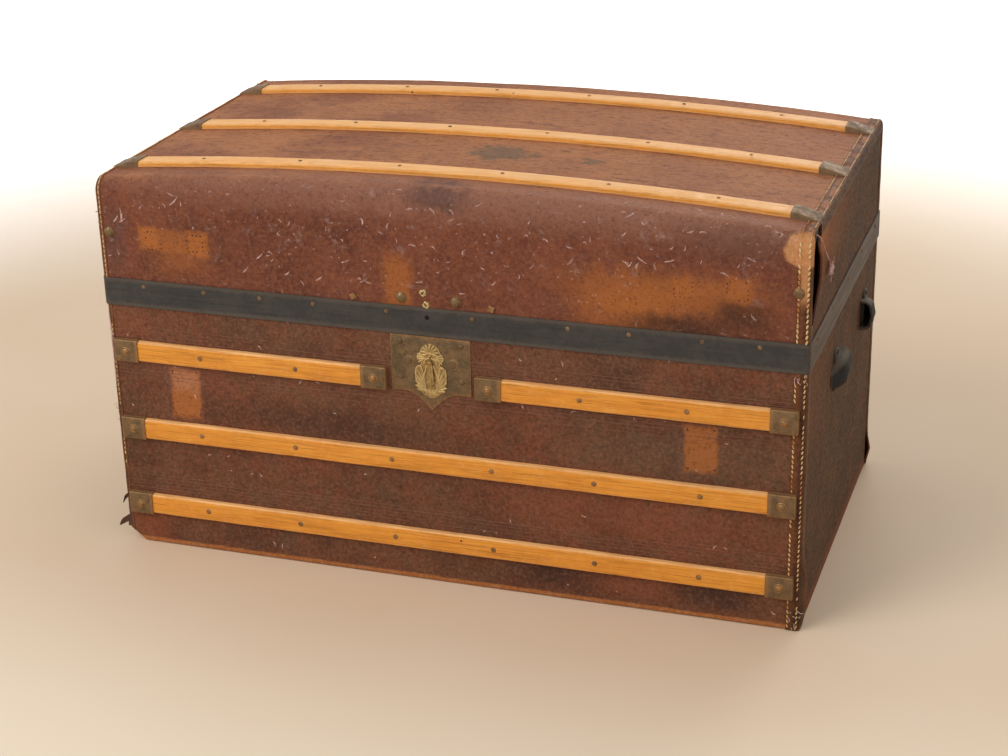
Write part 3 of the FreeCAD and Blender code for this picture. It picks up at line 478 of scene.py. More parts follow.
class Board:
    """Short calls that lay out the nodes of one material or group."""

    def __init__(self, tree):
        self.tree = tree

    def feed(self, socket, value):
        if isinstance(value, bpy.types.NodeSocket):
            self.tree.links.new(value, socket)
        else:
            socket.default_value = value

    def node(self, kind, inputs, **settings):
        made = self.tree.nodes.new("ShaderNode" + kind)
        for name, value in settings.items():
            setattr(made, name, value)
        for name, value in inputs.items():
            self.feed(made.inputs[name], value)
        return made.outputs

    def group(self, name, **inputs):
        return self.node("Group", inputs, node_tree=bpy.data.node_groups[name])

    def maths(self, operation, *values):
        return self.node("Math", dict(enumerate(values)), operation=operation)[0]

    def plus(self, first, second):
        return self.maths("ADD", first, second)

    def minus(self, first, second):
        return self.maths("SUBTRACT", first, second)

    def times(self, *values):
        total = values[0]
        for value in values[1:]:
            total = self.maths("MULTIPLY", total, value)
        return total

    def vector(self, operation, *values):
        made = self.node("VectorMath", dict(enumerate(values)), operation=operation)
        return made["Value" if operation == "LENGTH" else "Vector"]

    def ramp(self, value, low, high, start=0.0, end=1.0):
        inputs = {"Value": value, "From Min": low, "From Max": high, "To Min": start, "To Max": end}
        return self.node("MapRange", inputs, interpolation_type="SMOOTHSTEP")["Result"]

    def noise(self, place, scale, detail=3.0, roughness=0.55):
        inputs = {"Vector": place, "Scale": scale, "Detail": detail, "Roughness": roughness}
        return self.node("TexNoise", inputs)["Fac"]

    def stretched(self, place, *scale):
        return self.vector("MULTIPLY", place, scale)

    def axes(self, place):
        return self.node("SeparateXYZ", {"Vector": place})

    def flat(self, across, up):
        return self.node("CombineXYZ", {"X": across, "Y": up})["Vector"]

    def attribute(self, name):
        return self.node("Attribute", {}, attribute_name=name)["Fac"]

    def rubbed(self, place, amount):
        """Mask of the edges that were rubbed."""
        return self.group("Edge Wear", Place=place, Amount=amount, Worn=self.attribute("worn"))["Mask"]

    def patch(self, place, centre, half, soft, rag, rounded=0.0):
        return self.group(
            "Soft Patch", Place=place, Centre=centre, Half=half, Soft=soft, Rag=rag, Round=rounded
        )["Mask"]

    def mix(self, mask, under, over):
        return self.node("Mix", {0: mask, 6: under, 7: over}, data_type="RGBA")[2]

    def lay(self, colour, *coats):
        """Lay coats on a colour: where each one lies, its share and its paint."""
        for mask, share, over in coats:
            colour = self.mix(self.times(mask, share), colour, over)
        return colour

    def zones(self, colour, place, *rows):
        """Lay soft patches on a colour: centre, half size, softness, raggedness, roundness, share, paint."""
        for *patch, share, over in rows:
            colour = self.lay(colour, (self.patch(place, *patch), share, over))
        return colour

    def marks(self, colour, place, y, *rows):
        """Lay soft patches on an upright front: place along and up, half sizes, and on as in zones."""
        return self.zones(colour, place, *(
            ((x, y, z), (wide, 0.02, high), *rest) for x, z, wide, high, *rest in rows))

    def finish(self, shader, colour, roughness, height, depth):
        """Feed a material's colour, roughness and relief to its shader."""
        relief = self.node("Bump", {"Height": height, "Distance": depth})["Normal"]
        for name, value in (("Base Color", colour), ("Roughness", roughness), ("Normal", relief)):
            self.feed(shader[name], value)


def surface(name, sheen=0.22):
    """New material: its board, shader and the piece's own coordinates."""
    material = bpy.data.materials.new(name)
    material.use_nodes = True
    board = Board(material.node_tree)
    shader = material.node_tree.nodes["Principled BSDF"].inputs
    shader["Specular IOR Level"].default_value = sheen
    return board, shader, board.node("TexCoord", {})["Object"]


def node_group(name, inputs, outputs):
    """New group: its board, inputs and outputs."""
    tree = bpy.data.node_groups.new(name, "ShaderNodeTree")
    for label, kind, default in inputs:
        socket = tree.interface.new_socket(label, in_out="INPUT", socket_type="NodeSocket" + kind)
        if default is not None:
            socket.default_value = default
    for label in outputs:
        tree.interface.new_socket(label, in_out="OUTPUT", socket_type="NodeSocketFloat")
    return (Board(tree), tree.nodes.new("NodeGroupInput").outputs,
            tree.nodes.new("NodeGroupOutput").inputs)


# The first input of every effect.
PLACE = ("Place", "Vector", None)


def make_soft_patch():
    """A worn or stained area with a ragged edge."""
    board, take, give = node_group("Soft Patch", [
        PLACE, ("Centre", "Vector", None), ("Half", "Vector", None), ("Soft", "Float", 0.3),
        ("Rag", "Float", 0.006), ("Round", "Float", 0.0)], ["Mask"])
    wobble = board.node("TexNoise", {"Vector": take["Place"], "Scale": 55.0, "Detail": 4.0})["Color"]
    wobble = board.vector("SUBTRACT", wobble, (0.5, 0.5, 0.5))
    wobble = board.node("VectorMath", {0: wobble, "Scale": take["Rag"]}, operation="SCALE")["Vector"]
    away = board.vector("SUBTRACT", board.vector("ADD", take["Place"], wobble), take["Centre"])
    away = board.vector("ABSOLUTE", board.vector("DIVIDE", away, take["Half"]))
    sides = board.axes(away)
    boxed = board.maths("MAXIMUM", board.maths("MAXIMUM", sides["X"], sides["Y"]), sides["Z"])
    reach = board.node("Mix", {0: take["Round"], 2: boxed, 3: board.vector("LENGTH", away)})[0]
    board.feed(give["Mask"], board.ramp(
        reach, board.minus(1.0, take["Soft"]), board.plus(1.0, take["Soft"]),
        1.0, 0.0))


def make_mottle():
    """Broad and fine unevenness of an old finish."""
    board, take, give = node_group("Mottle", [PLACE, ("Scale", "Float", 1.0)], ["Broad", "Cloud", "Fine"])
    for label, scale, low, high in (
            ("Broad", 8.0, 0.38, 0.62), ("Cloud", 30.0, 0.43, 0.62), ("Fine", 190.0, 0.42, 0.62)):
        spots = board.noise(take["Place"], board.times(take["Scale"], scale), 6.0, 0.66)
        board.feed(give[label], board.ramp(spots, low, high))


def make_hide_grain():
    """Pebbled hide with pores."""
    board, take, give = node_group("Hide Grain", [PLACE, ("Scale", "Float", 1.0)], ["Height", "Pores"])
    cells = board.node("TexVoronoi", {
        "Vector": take["Place"], "Scale": board.times(take["Scale"], 420.0)})["Distance"]
    fine = board.noise(take["Place"], board.times(take["Scale"], 1300.0), 2.0)
    creases = board.noise(take["Place"], board.times(take["Scale"], 160.0), 4.0, 0.7)
    pebbled = board.minus(board.times(creases, 0.7), board.times(cells, 0.4))
    board.feed(give["Height"], board.plus(pebbled, board.times(fine, 0.25)))
    board.feed(give["Pores"], board.times(
        board.ramp(cells, 0.45, 0.8), board.ramp(creases, 0.5, 0.62)))


def make_scuffs():
    """Comma shaped strokes, turned at random, where something grazed the surface."""
    board, take, give = node_group("Scuffs", [
        PLACE, ("Cell", "Float", 0.02), ("Long", "Float", 0.3), ("Thin", "Float", 0.05),
        ("Amount", "Float", 0.4), ("Lean", "Float", 0.5)], ["Mask"])
    scaled = board.node("VectorMath", {
        0: take["Place"], "Scale": board.maths("DIVIDE", 1.0, take["Cell"])}, operation="SCALE")["Vector"]
    cells = board.node("TexVoronoi", {"Vector": scaled, "Scale": 1.0}, voronoi_dimensions="2D")
    chance = board.node("SeparateColor", {"Color": cells["Color"]})
    rag = board.node("TexNoise", {"Vector": scaled, "Scale": 6.0, "Detail": 3.0})["Color"]
    rag = board.vector("MULTIPLY", board.vector("SUBTRACT", rag, (0.5, 0.5, 0.5)), (0.13, 0.13, 0.0))
    away = board.vector("SUBTRACT", board.vector("ADD", scaled, rag), cells["Position"])
    turn = board.times(board.minus(chance["Red"], 0.4), board.times(take["Lean"], 6.28))
    away = board.axes(board.node("VectorRotate", {"Vector": away, "Angle": turn},
                                 rotation_type="Z_AXIS")["Vector"])
    along = board.maths("DIVIDE", away["Y"], board.times(
        take["Long"], board.ramp(chance["Blue"], 0.0, 1.0, 0.3, 1.0)))
    wide = board.times(take["Thin"], board.ramp(along, -1.0, 1.0, 1.6, 0.25))
    bend = board.times(along, along, take["Thin"], 1.8)
    aside = board.maths("DIVIDE", board.minus(away["X"], bend), wide)
    reach = board.plus(board.times(along, along), board.times(aside, aside))
    broken = board.ramp(board.noise(scaled, 16.0, 3.0), 0.40, 0.54, 0.25, 1.0)
    board.feed(give["Mask"], board.times(
        board.ramp(reach, 0.25, 1.0, 1.0, 0.0), broken,
        board.maths("LESS_THAN", chance["Green"], take["Amount"])))


def make_wood_grain():
    """Growth rings and pores along one direction."""
    board, take, give = node_group("Wood Grain", [PLACE], ["Rings", "Pores"])
    rings = board.noise(take["Place"], 1.0, 3.0, 0.6)
    rings = board.maths("FRACT", board.times(rings, 7.0))
    fibres = board.noise(board.stretched(take["Place"], 1.0, 7.0, 7.0), 2.0, 3.0, 0.6)
    board.feed(give["Rings"], board.ramp(board.plus(board.times(rings, 0.65), board.times(
        fibres, 0.5)), 0.25, 0.95))
    pores = board.noise(board.stretched(take["Place"], 2.5, 22.0, 22.0), 2.0, 1.0)
    board.feed(give["Pores"], board.ramp(pores, 0.58, 0.72))


def make_edge_wear():
    """Bare or pale material where edges were rubbed."""
    board, take, give = node_group("Edge Wear", [
        PLACE, ("Worn", "Float", 0.0), ("Amount", "Float", 0.5)], ["Mask"])
    rub = board.noise(take["Place"], 130.0, 4.0, 0.7)
    rubbed = board.plus(take["Worn"], board.minus(rub, 0.5))
    board.feed(give["Mask"], board.times(board.ramp(rubbed, 0.25, 0.75), take["Amount"]))


def make_tarnish():
    """Cloudy tarnish and small pits on old metal."""
    board, take, give = node_group("Tarnish", [PLACE, ("Scale", "Float", 1.0)], ["Mask", "Pits"])
    cloud = board.noise(take["Place"], board.times(take["Scale"], 60.0), 6.0, 0.7)
    spots = board.noise(take["Place"], board.times(take["Scale"], 420.0), 3.0, 0.6)
    board.feed(give["Mask"], board.ramp(board.plus(board.times(cloud, 0.75), board.times(
        spots, 0.25)), 0.4, 0.62))
    board.feed(give["Pits"], board.ramp(spots, 0.58, 0.7))


def specked(board, place, amount, colour, pale, dark):
    """Strew fine pale and dark flecks over a hide."""
    specks = board.noise(board.stretched(place, 230.0, 230.0, 230.0), 1.0, 3.0, 0.7)
    colour = board.mix(board.ramp(specks, 0.50, 0.68, 0.0, 0.5 * amount), colour, pale)
    return board.mix(board.ramp(specks, 0.32, 0.50, 0.75 * amount, 0.0), colour, dark)


def bare_corner(board, place, fine, colours):
    """Mask and colour of the lid's front right corner, rubbed down to its fibres."""
    mask = board.patch(place, (0.446, CREST_Y, 0.489), (0.024, 0.03, 0.021), 0.10, 0.010, 1.0)
    return mask, board.mix(board.times(fine, 0.35), colours.rough_out, colours.scar)


def lid_scuffs(board, place, top):
    """Masks of the lid's grazed stretches and of the strokes in them."""
    x, y, z = board.axes(place).values()
    run = board.flat(x, board.plus(y, z))
    front = -LID_Y
    zone = board.times(board.ramp(board.noise(place, 9.0, 2.0), 0.38, 0.56, 0.20, 0.9),
                       board.ramp(top, 0.0, 1.0, 1.0, 0.16), board.ramp(z, 0.375, 0.42, 0.3, 1.0))
    for centre, half in (
            ((0.30, CREST_Y, 0.508), (0.16, 0.03, 0.026)), ((-0.36, front, 0.468), (0.09, 0.03, 0.026)),
            ((-0.15, front, 0.455), (0.11, 0.03, 0.050)), ((-0.438, front, 0.455), (0.03, 0.03, 0.025))):
        zone = board.maths("MAXIMUM", zone, board.patch(place, centre, half, 0.6, 0.03, 0.5))
    scuffs = 0.0
    for cell, long, thin, amount, lean, share in (
            (0.024, 0.30, 0.055, 0.24, 0.7, 0.7), (0.009, 0.28, 0.11, 0.16, 1.0, 0.5)):
        strokes = board.group("Scuffs", Place=run, Cell=cell, Long=long, Thin=thin, Amount=amount, Lean=lean)
        scuffs = board.maths("MAXIMUM", scuffs, board.times(strokes["Mask"], share))
    return zone, board.times(scuffs, zone)


def lid_hide(colours):
    """Red brown lid leather, faded on top, with strap scars, smudges, scuffs and a bare corner."""
    board, shader, place = surface("Lid Hide", 0.06)
    x, y = board.axes(place).values()[:2]
    mottle = board.group("Mottle", Place=place, Scale=1.0)
    streaks = board.noise(board.stretched(place, 9.0, 70.0, 70.0), 1.0, 6.0, 0.7)
    grain = board.group("Hide Grain", Place=place, Scale=1.0)
    crackle = board.noise(board.stretched(place, 70.0, 170.0, 170.0), 1.0, 6.0, 0.75)
    top = board.ramp(board.maths("ABSOLUTE", y), LID_Y - 0.0145, LID_Y - 0.001, 1.0, 0.0)
    faded = board.lay(
        colours.lid_tan, (mottle["Broad"], board.ramp(x, -0.3, 0.1, 0.80, 0.35), colours.lid_red),
        (mottle["Fine"], 0.25, colours.rough_out))
    colour = board.lay(
        colours.lid_red, (mottle["Broad"], 0.42, colours.lid_dark),
        (mottle["Cloud"], 0.40, colours.lid_dark), (mottle["Fine"], 0.20, colours.lid_tan),
        (top, board.ramp(streaks, 0.3, 0.55, 0.7, 1.0), faded),
        (board.times(board.ramp(streaks, 0.51, 0.68), top), 0.42, colours.lid_dark),
        (board.times(board.ramp(crackle, 0.50, 0.64), top), 0.55, colours.lid_dark))
    colour = board.zones(
        colour, place,
        ((0.140, CREST_Y, 0.520), (0.360, 0.05, 0.026), 0.85, 0.03, 0.0, 0.72, colours.lid_dust),
        ((-0.250, CREST_Y, 0.512), (0.160, 0.03, 0.014), 0.85, 0.03, 0.0, 0.30, colours.lid_dust),
        ((0.003, CREST_Y, 0.518), (0.036, 0.03, 0.014), 0.55, 0.05, 0.6, 0.75, colours.lid_plum),
    )
    colour = board.marks(
        colour, place, -LID_Y,
        (0.360, 0.492, 0.060, 0.022, 0.80, 0.03, 0.6, 0.40, colours.lid_plum),
        (-0.436, 0.428, 0.014, 0.035, 0.80, 0.02, 0.5, 0.55, colours.lid_plum),
        (0.284, 0.424, 0.100, 0.024, 0.70, 0.04, 0.5, 0.66, colours.scar),
        (0.235, 0.396, 0.050, 0.026, 0.75, 0.03, 0.5, 0.62, colours.scar),
        (0.300, 0.384, 0.060, 0.012, 0.75, 0.03, 0.6, 0.70, colours.base_dark),
        (0.376, 0.406, 0.032, 0.016, 0.80, 0.03, 0.7, 0.75, colours.base_dark),
        (-0.352, 0.434, 0.046, 0.0155, 0.22, 0.012, 0.0, 0.50, colours.scar),
        (-0.387, 0.436, 0.012, 0.0140, 0.35, 0.010, 0.0, 0.75, colours.scar),
        (-0.318, 0.431, 0.012, 0.0145, 0.35, 0.010, 0.0, 0.75, colours.scar),
        (-0.345, 0.412, 0.034, 0.020, 0.80, 0.02, 0.5, 0.40, colours.scar),
        (-0.050, 0.405, 0.018, 0.034, 0.45, 0.012, 0.2, 0.65, colours.scar),
        (0.3075, 0.4335, 0.0125, 0.0125, 0.35, 0.008, 0.0, 0.50, colours.scar),
        (0.3740, 0.4350, 0.0150, 0.0150, 0.35, 0.008, 0.0, 0.60, colours.scar),
    )
    colour = board.zones(
        colour, place,
        ((0.032, -0.094, 0.53), (0.042, 0.027, 0.05), 0.30, 0.07, 1.0, 0.62, colours.stain),
        ((0.153, -0.091, 0.53), (0.017, 0.009, 0.05), 0.30, 0.05, 1.0, 0.60, colours.stain),
    )
    bare, fibres = bare_corner(board, place, mottle["Fine"], colours)
    colour = board.mix(bare, colour, fibres)
    zone, scuffs = lid_scuffs(board, place, top)
    haze = board.noise(board.stretched(place, 60.0, 60.0, 60.0), 1.0, 6.0, 0.75)
    colour = board.lay(
        colour, (board.times(board.ramp(haze, 0.54, 0.74), zone), 0.22, colours.scuff),
        (scuffs, 0.90, colours.scuff), (grain["Pores"], 0.5, colours.lid_dark))
    colour = specked(board, place, 0.4, colour, colours.lid_dust, colours.lid_dark)
    rough = board.plus(mottle["Fine"], board.times(bare, 1.5))
    height = board.minus(board.plus(grain["Height"], board.times(
        streaks, 0.8)), board.times(scuffs, 0.5))
    board.finish(shader, colour, board.ramp(rough, 0.0, 2.0, 0.50, 0.95), height, 0.0006)


def tooled_lines(board, place, z):
    """Mask of the bands of lines pressed along the base, worn away in places."""
    lines = 0.0
    for level, half in ((0.3045, 0.009), (0.2530, 0.011), (0.0900, 0.010)):
        lines = board.plus(lines, board.ramp(
            board.maths("ABSOLUTE", board.minus(z, level)), half, half + 0.003, 1.0, 0.0))
    groove = board.ramp(board.maths("SINE", board.times(z, 2 * math.pi / 0.0050)), 0.55, 0.98)
    worn_along = board.ramp(board.noise(board.stretched(place, 9.0, 9.0, 160.0), 1.0, 3.0), 0.36, 0.56)
    return board.times(lines, groove, worn_along)


def base_hide(colours):
    """Dark brown base leather with a fine rib, tooled lines, strap scars and a rubbed foot."""
    board, shader, place = surface("Base Hide", 0.14)
    x, y, z = board.axes(place).values()
    run = board.flat(board.plus(x, y), z)
    mottle = board.group("Mottle", Place=place, Scale=1.25)
    grain = board.group("Hide Grain", Place=place, Scale=1.1)
    rib = board.node("TexWave", {
        "Vector": place, "Scale": 120.0, "Distortion": 2.0, "Detail": 3.0, "Detail Scale": 2.0})["Fac"]
    weft = board.node("TexWave", {
        "Vector": place, "Scale": 150.0, "Distortion": 2.5, "Detail": 3.0}, bands_direction="Z")["Fac"]
    rib = board.times(board.plus(board.times(rib, 0.6), board.times(weft, 0.5)),
                      board.ramp(board.noise(place, 24.0, 3.0), 0.35, 0.6, 0.25, 1.0))
    colour = board.lay(
        colours.base_brown,
        (board.ramp(board.noise(place, 5.0, 5.0, 0.6), 0.46, 0.60), 0.8, colours.base_red),
        (mottle["Broad"], 0.66, colours.base_dark), (mottle["Cloud"], 0.40, colours.base_olive),
        (rib, 0.55, colours.base_red), (mottle["Fine"], 0.28, colours.base_dark))
    lines = tooled_lines(board, place, z)
    colour = board.marks(
        colour, place, -BASE_Y,
        (0.353, 0.034, 0.045, 0.018, 0.7, 0.03, 0.6, 0.80, colours.base_dark),
        (0.160, 0.036, 0.060, 0.016, 0.8, 0.03, 0.5, 0.75, colours.base_dark),
        (0.240, 0.030, 0.050, 0.014, 0.8, 0.03, 0.5, 0.60, colours.base_red),
        (-0.160, 0.205, 0.140, 0.020, 0.8, 0.04, 0.4, 0.60, colours.base_dark),
        (0.300, 0.215, 0.120, 0.026, 0.8, 0.04, 0.4, 0.45, colours.base_olive),
        (-0.430, 0.300, 0.030, 0.030, 0.8, 0.04, 0.4, 0.60, colours.base_red),
        (-0.428, 0.024, 0.030, 0.024, 0.8, 0.03, 0.4, 0.80, colours.base_red),
        (0.250, 0.125, 0.150, 0.024, 0.8, 0.04, 0.4, 0.40, colours.base_red),
        (-0.3535, 0.2250, 0.0205, 0.034, 0.18, 0.014, 0.0, 0.88, colours.scar),
        (-0.3550, 0.2440, 0.0180, 0.014, 0.60, 0.014, 0.0, 0.10, colours.scuff),
        (0.3310, 0.2290, 0.0205, 0.031, 0.18, 0.014, 0.1, 0.75, colours.scar),
    )
    colour = specked(board, place, 0.6, colour, colours.lid_dust, colours.base_dark)
    foot = board.ramp(board.plus(z, board.times(board.noise(place, 60.0, 4.0), 0.005)),
                      0.0082, 0.0112, 1.0, 0.0)
    fibres = board.lay(colours.scar, (mottle["Fine"], 0.5, colours.rough_out))
    nicks = board.group("Scuffs", Place=run, Cell=0.020, Long=0.26, Thin=0.045, Amount=0.07, Lean=0.8)
    colour = board.lay(colour, (lines, 0.50, colours.lid_dust), (foot, 0.8, fibres),
                       (nicks["Mask"], 0.6, colours.scuff))
    height = board.plus(board.plus(grain["Height"], board.times(rib, 0.5)),
                         board.times(lines, 1.2))
    board.finish(shader, colour, board.ramp(mottle["Fine"], 0.0, 1.0, 0.48, 0.72), height, 0.0006)


def end_hide(colours):
    """Olive brown leather of the ends, faintly streaked on the slant, warm at the lid's front top, with a
    painted shadow beside the lifted binding leg at the right front foot.
    """
    board, shader, place = surface("End Hide", 0.14)
    y, z = board.axes(place).values()[1:]
    mottle = board.group("Mottle", Place=place, Scale=1.0)
    grain = board.group("Hide Grain", Place=place, Scale=0.9)
    slant = board.node("VectorRotate", {"Vector": place, "Angle": math.radians(38)},
                       rotation_type="X_AXIS")["Vector"]
    streaks = board.noise(board.stretched(slant, 14.0, 90.0, 16.0), 1.0, 6.0, 0.72)
    colour = board.mix(board.ramp(streaks, 0.40, 0.62, 0.0, 0.6), colours.end_olive, colours.end_dark)
    colour = board.lay(colour, (mottle["Broad"], 0.50, colours.end_dark),
                       (mottle["Cloud"], 0.30, colours.end_umber), (mottle["Fine"], 0.25, colours.end_dark))
    front = -LID_Y
    colour = board.zones(
        colour, place,
        ((LID_X, front + 0.090, 0.470), (0.10, 0.130, 0.040), 0.8, 0.05, 0.5, 0.90, colours.end_umber),
        ((LID_X, front + 0.040, 0.490), (0.10, 0.050, 0.022), 0.8, 0.03, 0.5, 0.85, colours.scar),
        ((LID_X, front + 0.026, 0.448), (0.10, 0.026, 0.058), 0.5, 0.02, 0.2, 0.90, colours.lid_dark),
        ((LID_X, front + 0.060, 0.300), (0.10, 0.080, 0.080), 0.9, 0.05, 0.5, 0.35, colours.end_umber),
        # Painted shadow of the lifted binding leg on the right end's hide at the front foot.
        ((LID_X, front + 0.030, 0.068), (0.10, 0.014, 0.026), 0.5, 0.01, 0.3, 0.90, colours.iron),
        ((LID_X, 0.0, 0.0), (0.10, 0.300, 0.014), 0.5, 0.01, 0.0, 0.65, colours.base_red),
    )
    nicks = board.group("Scuffs", Place=board.flat(y, z), Cell=0.022, Long=0.30, Thin=0.035, Amount=0.22,
                        Lean=0.8)
    colour = board.lay(colour, (nicks["Mask"], 0.35, colours.rough_out))
    colour = specked(board, place, 0.5, colour, colours.end_umber, colours.end_dark)
    height = board.plus(grain["Height"], board.times(streaks, 0.7))
    board.finish(shader, colour, board.ramp(mottle["Fine"], 0.0, 1.0, 0.65, 0.88), height, 0.0007)


def binding_hide(colours):
    """Thin leather of the bindings: like the hide beside it on the left, dark and streaked on the right."""
    board, shader, place = surface("Binding Hide", 0.12)
    sides = board.axes(place)
    mottle = board.group("Mottle", Place=place, Scale=1.2)
    grain = board.group("Hide Grain", Place=place, Scale=1.3)
    streaks = board.noise(board.stretched(place, 200.0, 200.0, 22.0), 1.0, 4.0, 0.7)
    side = board.maths("ABSOLUTE", sides["X"])
    right = board.ramp(sides["X"], -0.3, 0.3)
    lid = board.ramp(sides["Z"], SEAM - 0.001, SEAM)
    colour = board.mix(lid, colours.base_brown, colours.lid_red)
    blotch = board.mix(lid, colours.base_dark, colours.lid_dark)
    rim = board.ramp(side, LID_X - 0.0050, LID_X - 0.0040)
    colour = board.lay(colour, (mottle["Broad"], 0.6, blotch), (mottle["Cloud"], 0.5, colours.base_dark),
                       (rim, 0.55, colours.base_dark))
    colour = board.mix(right, colour, colours.binding)
    above = board.ramp(board.attribute("up"), 0.5, 0.9)
    groove = board.ramp(board.maths("ABSOLUTE", board.minus(side, LID_X - 0.0115)), 0.0010, 0.0020, 1.0, 0.0)
    end = board.ramp(side, LID_X - 0.0016, LID_X - 0.0004)
    end_brown = board.mix(mottle["Broad"], colours.end_olive, colours.end_dark)
    colour = board.lay(
        colour, (board.ramp(streaks, 0.46, 0.66, 0.2, 0.8), right, colours.base_dark),
        (mottle["Fine"], 0.14, colours.lid_tan), (board.times(above, mottle["Cloud"]), 0.7, colours.lid_tan),
        (board.times(groove, above), 0.8, colours.base_dark), (end, 0.9, end_brown))
    colour = board.zones(
        colour, place,
        ((LID_X, -LID_Y + 0.010, 0.490), (0.010, 0.016, 0.022), 0.6, 0.02, 0.3, 0.70, colours.end_umber),
        ((BASE_X, -BASE_Y, 0.012), (0.030, 0.030, 0.024), 0.6, 0.02, 0.3, 0.80, colours.end_dark),
        ((-BASE_X, -BASE_Y, 0.030), (0.030, 0.030, 0.030), 0.6, 0.02, 0.3, 0.60, colours.lid_plum),
        ((-BASE_X, -BASE_Y, 0.290), (0.0022, 0.005, 0.050), 0.5, 0.006, 0.0, 0.60, colours.scuff),
    )
    bare, fibres = bare_corner(board, place, mottle["Fine"], colours)
    strip = board.patch(place, (0.4495, -LID_Y, 0.456), (0.0050, 0.02, 0.028), 0.4, 0.006)
    colour = board.mix(board.maths("MAXIMUM", bare, board.times(strip, 0.85)), colour, fibres)
    colour = board.mix(board.rubbed(place, 0.22), colour, colours.scar)
    height = board.plus(grain["Height"], streaks)
    board.finish(shader, colour, board.ramp(mottle["Fine"], 0.0, 1.0, 0.48, 0.78), height, 0.0006)


def grazed_hide(colours):
    """Pale broken skin of a graze."""
    board, shader, place = surface("Grazed Hide", 0.08)
    mottle = board.group("Mottle", Place=place, Scale=2.5)
    colour = board.mix(0.35, colours.scuff, colours.lid_dust)
    colour = board.lay(
        colour, (mottle["Fine"], 0.75, colours.lid_dust), (mottle["Cloud"], 0.65, colours.lid_red))
    board.finish(shader, colour, board.ramp(mottle["Fine"], 0.0, 1.0, 0.7, 0.9), mottle["Fine"], 0.0003)


def slat_wood(name, side, pale_lit_and_worn, dark, gloss):
    """Ash along the trunk: smooth long rings, pin holes in painted shade, upward faces painted paler as a
    highlight of the light from above, and rubbed edges in the same pale colour.
    """
    board, shader, place = surface(name)
    grain = board.group("Wood Grain", Place=board.stretched(place, 2.2, 42.0, 42.0))
    mottle = board.group("Mottle", Place=place, Scale=0.8)
    # Pin holes, painted dark as the shade inside them.
    pins = board.node("TexVoronoi", {"Vector": place, "Scale": 19.0})["Distance"]
    pins = board.ramp(pins, 0.022, 0.034, 1.0, 0.0)
    # Upward faces paler: a painted highlight of the light from above, on the top slats also bleaching.
    colour = board.mix(board.ramp(board.attribute("up"), 0.25, 0.85), side, pale_lit_and_worn)
    colour = board.lay(colour, (grain["Rings"], 0.32, dark), (mottle["Cloud"], 0.28, dark))
    # Rubbed edges in the pale colour: real wear, along the top edge of the front slats also a painted
    # highlight.
    colour = board.mix(board.rubbed(place, 0.5), colour, pale_lit_and_worn)
    colour = board.lay(colour, (grain["Pores"], 0.22, board.mix(0.5, dark, SOOT)), (pins, 0.85, PIN_HOLE_SHADE))
    height = board.minus(board.times(grain["Rings"], 0.3), grain["Pores"])
    height = board.minus(height, board.times(pins, 3.0))
    board.finish(shader, colour, board.ramp(grain["Rings"], 0.0, 1.0, gloss, gloss + 0.14), height, 0.0003)


def board_wood(colours):
    """Pine boards inside, painted near black on the side under the leather as the shade seen through the
    split seam.
    """
    board, shader, place = surface("Pine Boards")
    x, y = board.axes(place).values()[:2]
    grain = board.group("Wood Grain", Place=board.stretched(place, 2.0, 24.0, 24.0))
    mottle = board.group("Mottle", Place=place, Scale=0.6)
    # The outer faces, under the leather, get the painted shade of the split seam's gap.
    outer = [board.ramp(board.maths("ABSOLUTE", across), start, start + 0.0007)
             for across, start in ((x, BOARD_END), (y, BASE_Y - 0.0036))]
    colour = board.lay(
        colours.pine, (grain["Rings"], 0.45, colours.pine_dark), (mottle["Broad"], 0.35, colours.pine_dark),
        (grain["Pores"], 0.4, colours.slat_amber), (board.maths("MAXIMUM", *outer), 0.96, SPLIT_GAP_SHADE))
    board.finish(shader, colour, board.ramp(mottle["Fine"], 0.0, 1.0, 0.6, 0.8), grain["Rings"], 0.0003)


def old_metal(name, bright, dull, metal, gloss, edge, scale, dust):
    """Old metal: cloudy tarnish, pits, edges that were rubbed bright, on the brasses also a painted
    highlight, and dust on what faces up.
    """
    board, shader, place = surface(name)
    tarnish = board.group("Tarnish", Place=place, Scale=scale)
    colour = board.lay(bright, (tarnish["Mask"], 0.8, dull), (tarnish["Pits"], 0.5, dull))
    # Edge colour on the rubbed edges: wear, and on the brasses also a painted highlight.
    colour = board.mix(board.rubbed(place, 0.55), colour, edge)
    if dust:
        lying = board.ramp(board.attribute("up"), 0.15, 0.9, 0.0, 0.75)
        colour = board.mix(lying, colour, dust)
    board.feed(shader["Metallic"], board.ramp(tarnish["Mask"], 0.0, 1.0, metal, metal * 0.7))
    height = board.minus(board.times(tarnish["Mask"], 0.6), tarnish["Pits"])
    board.finish(shader, colour, board.ramp(tarnish["Mask"], 0.0, 1.0, gloss, gloss + 0.22), height, 0.0003)


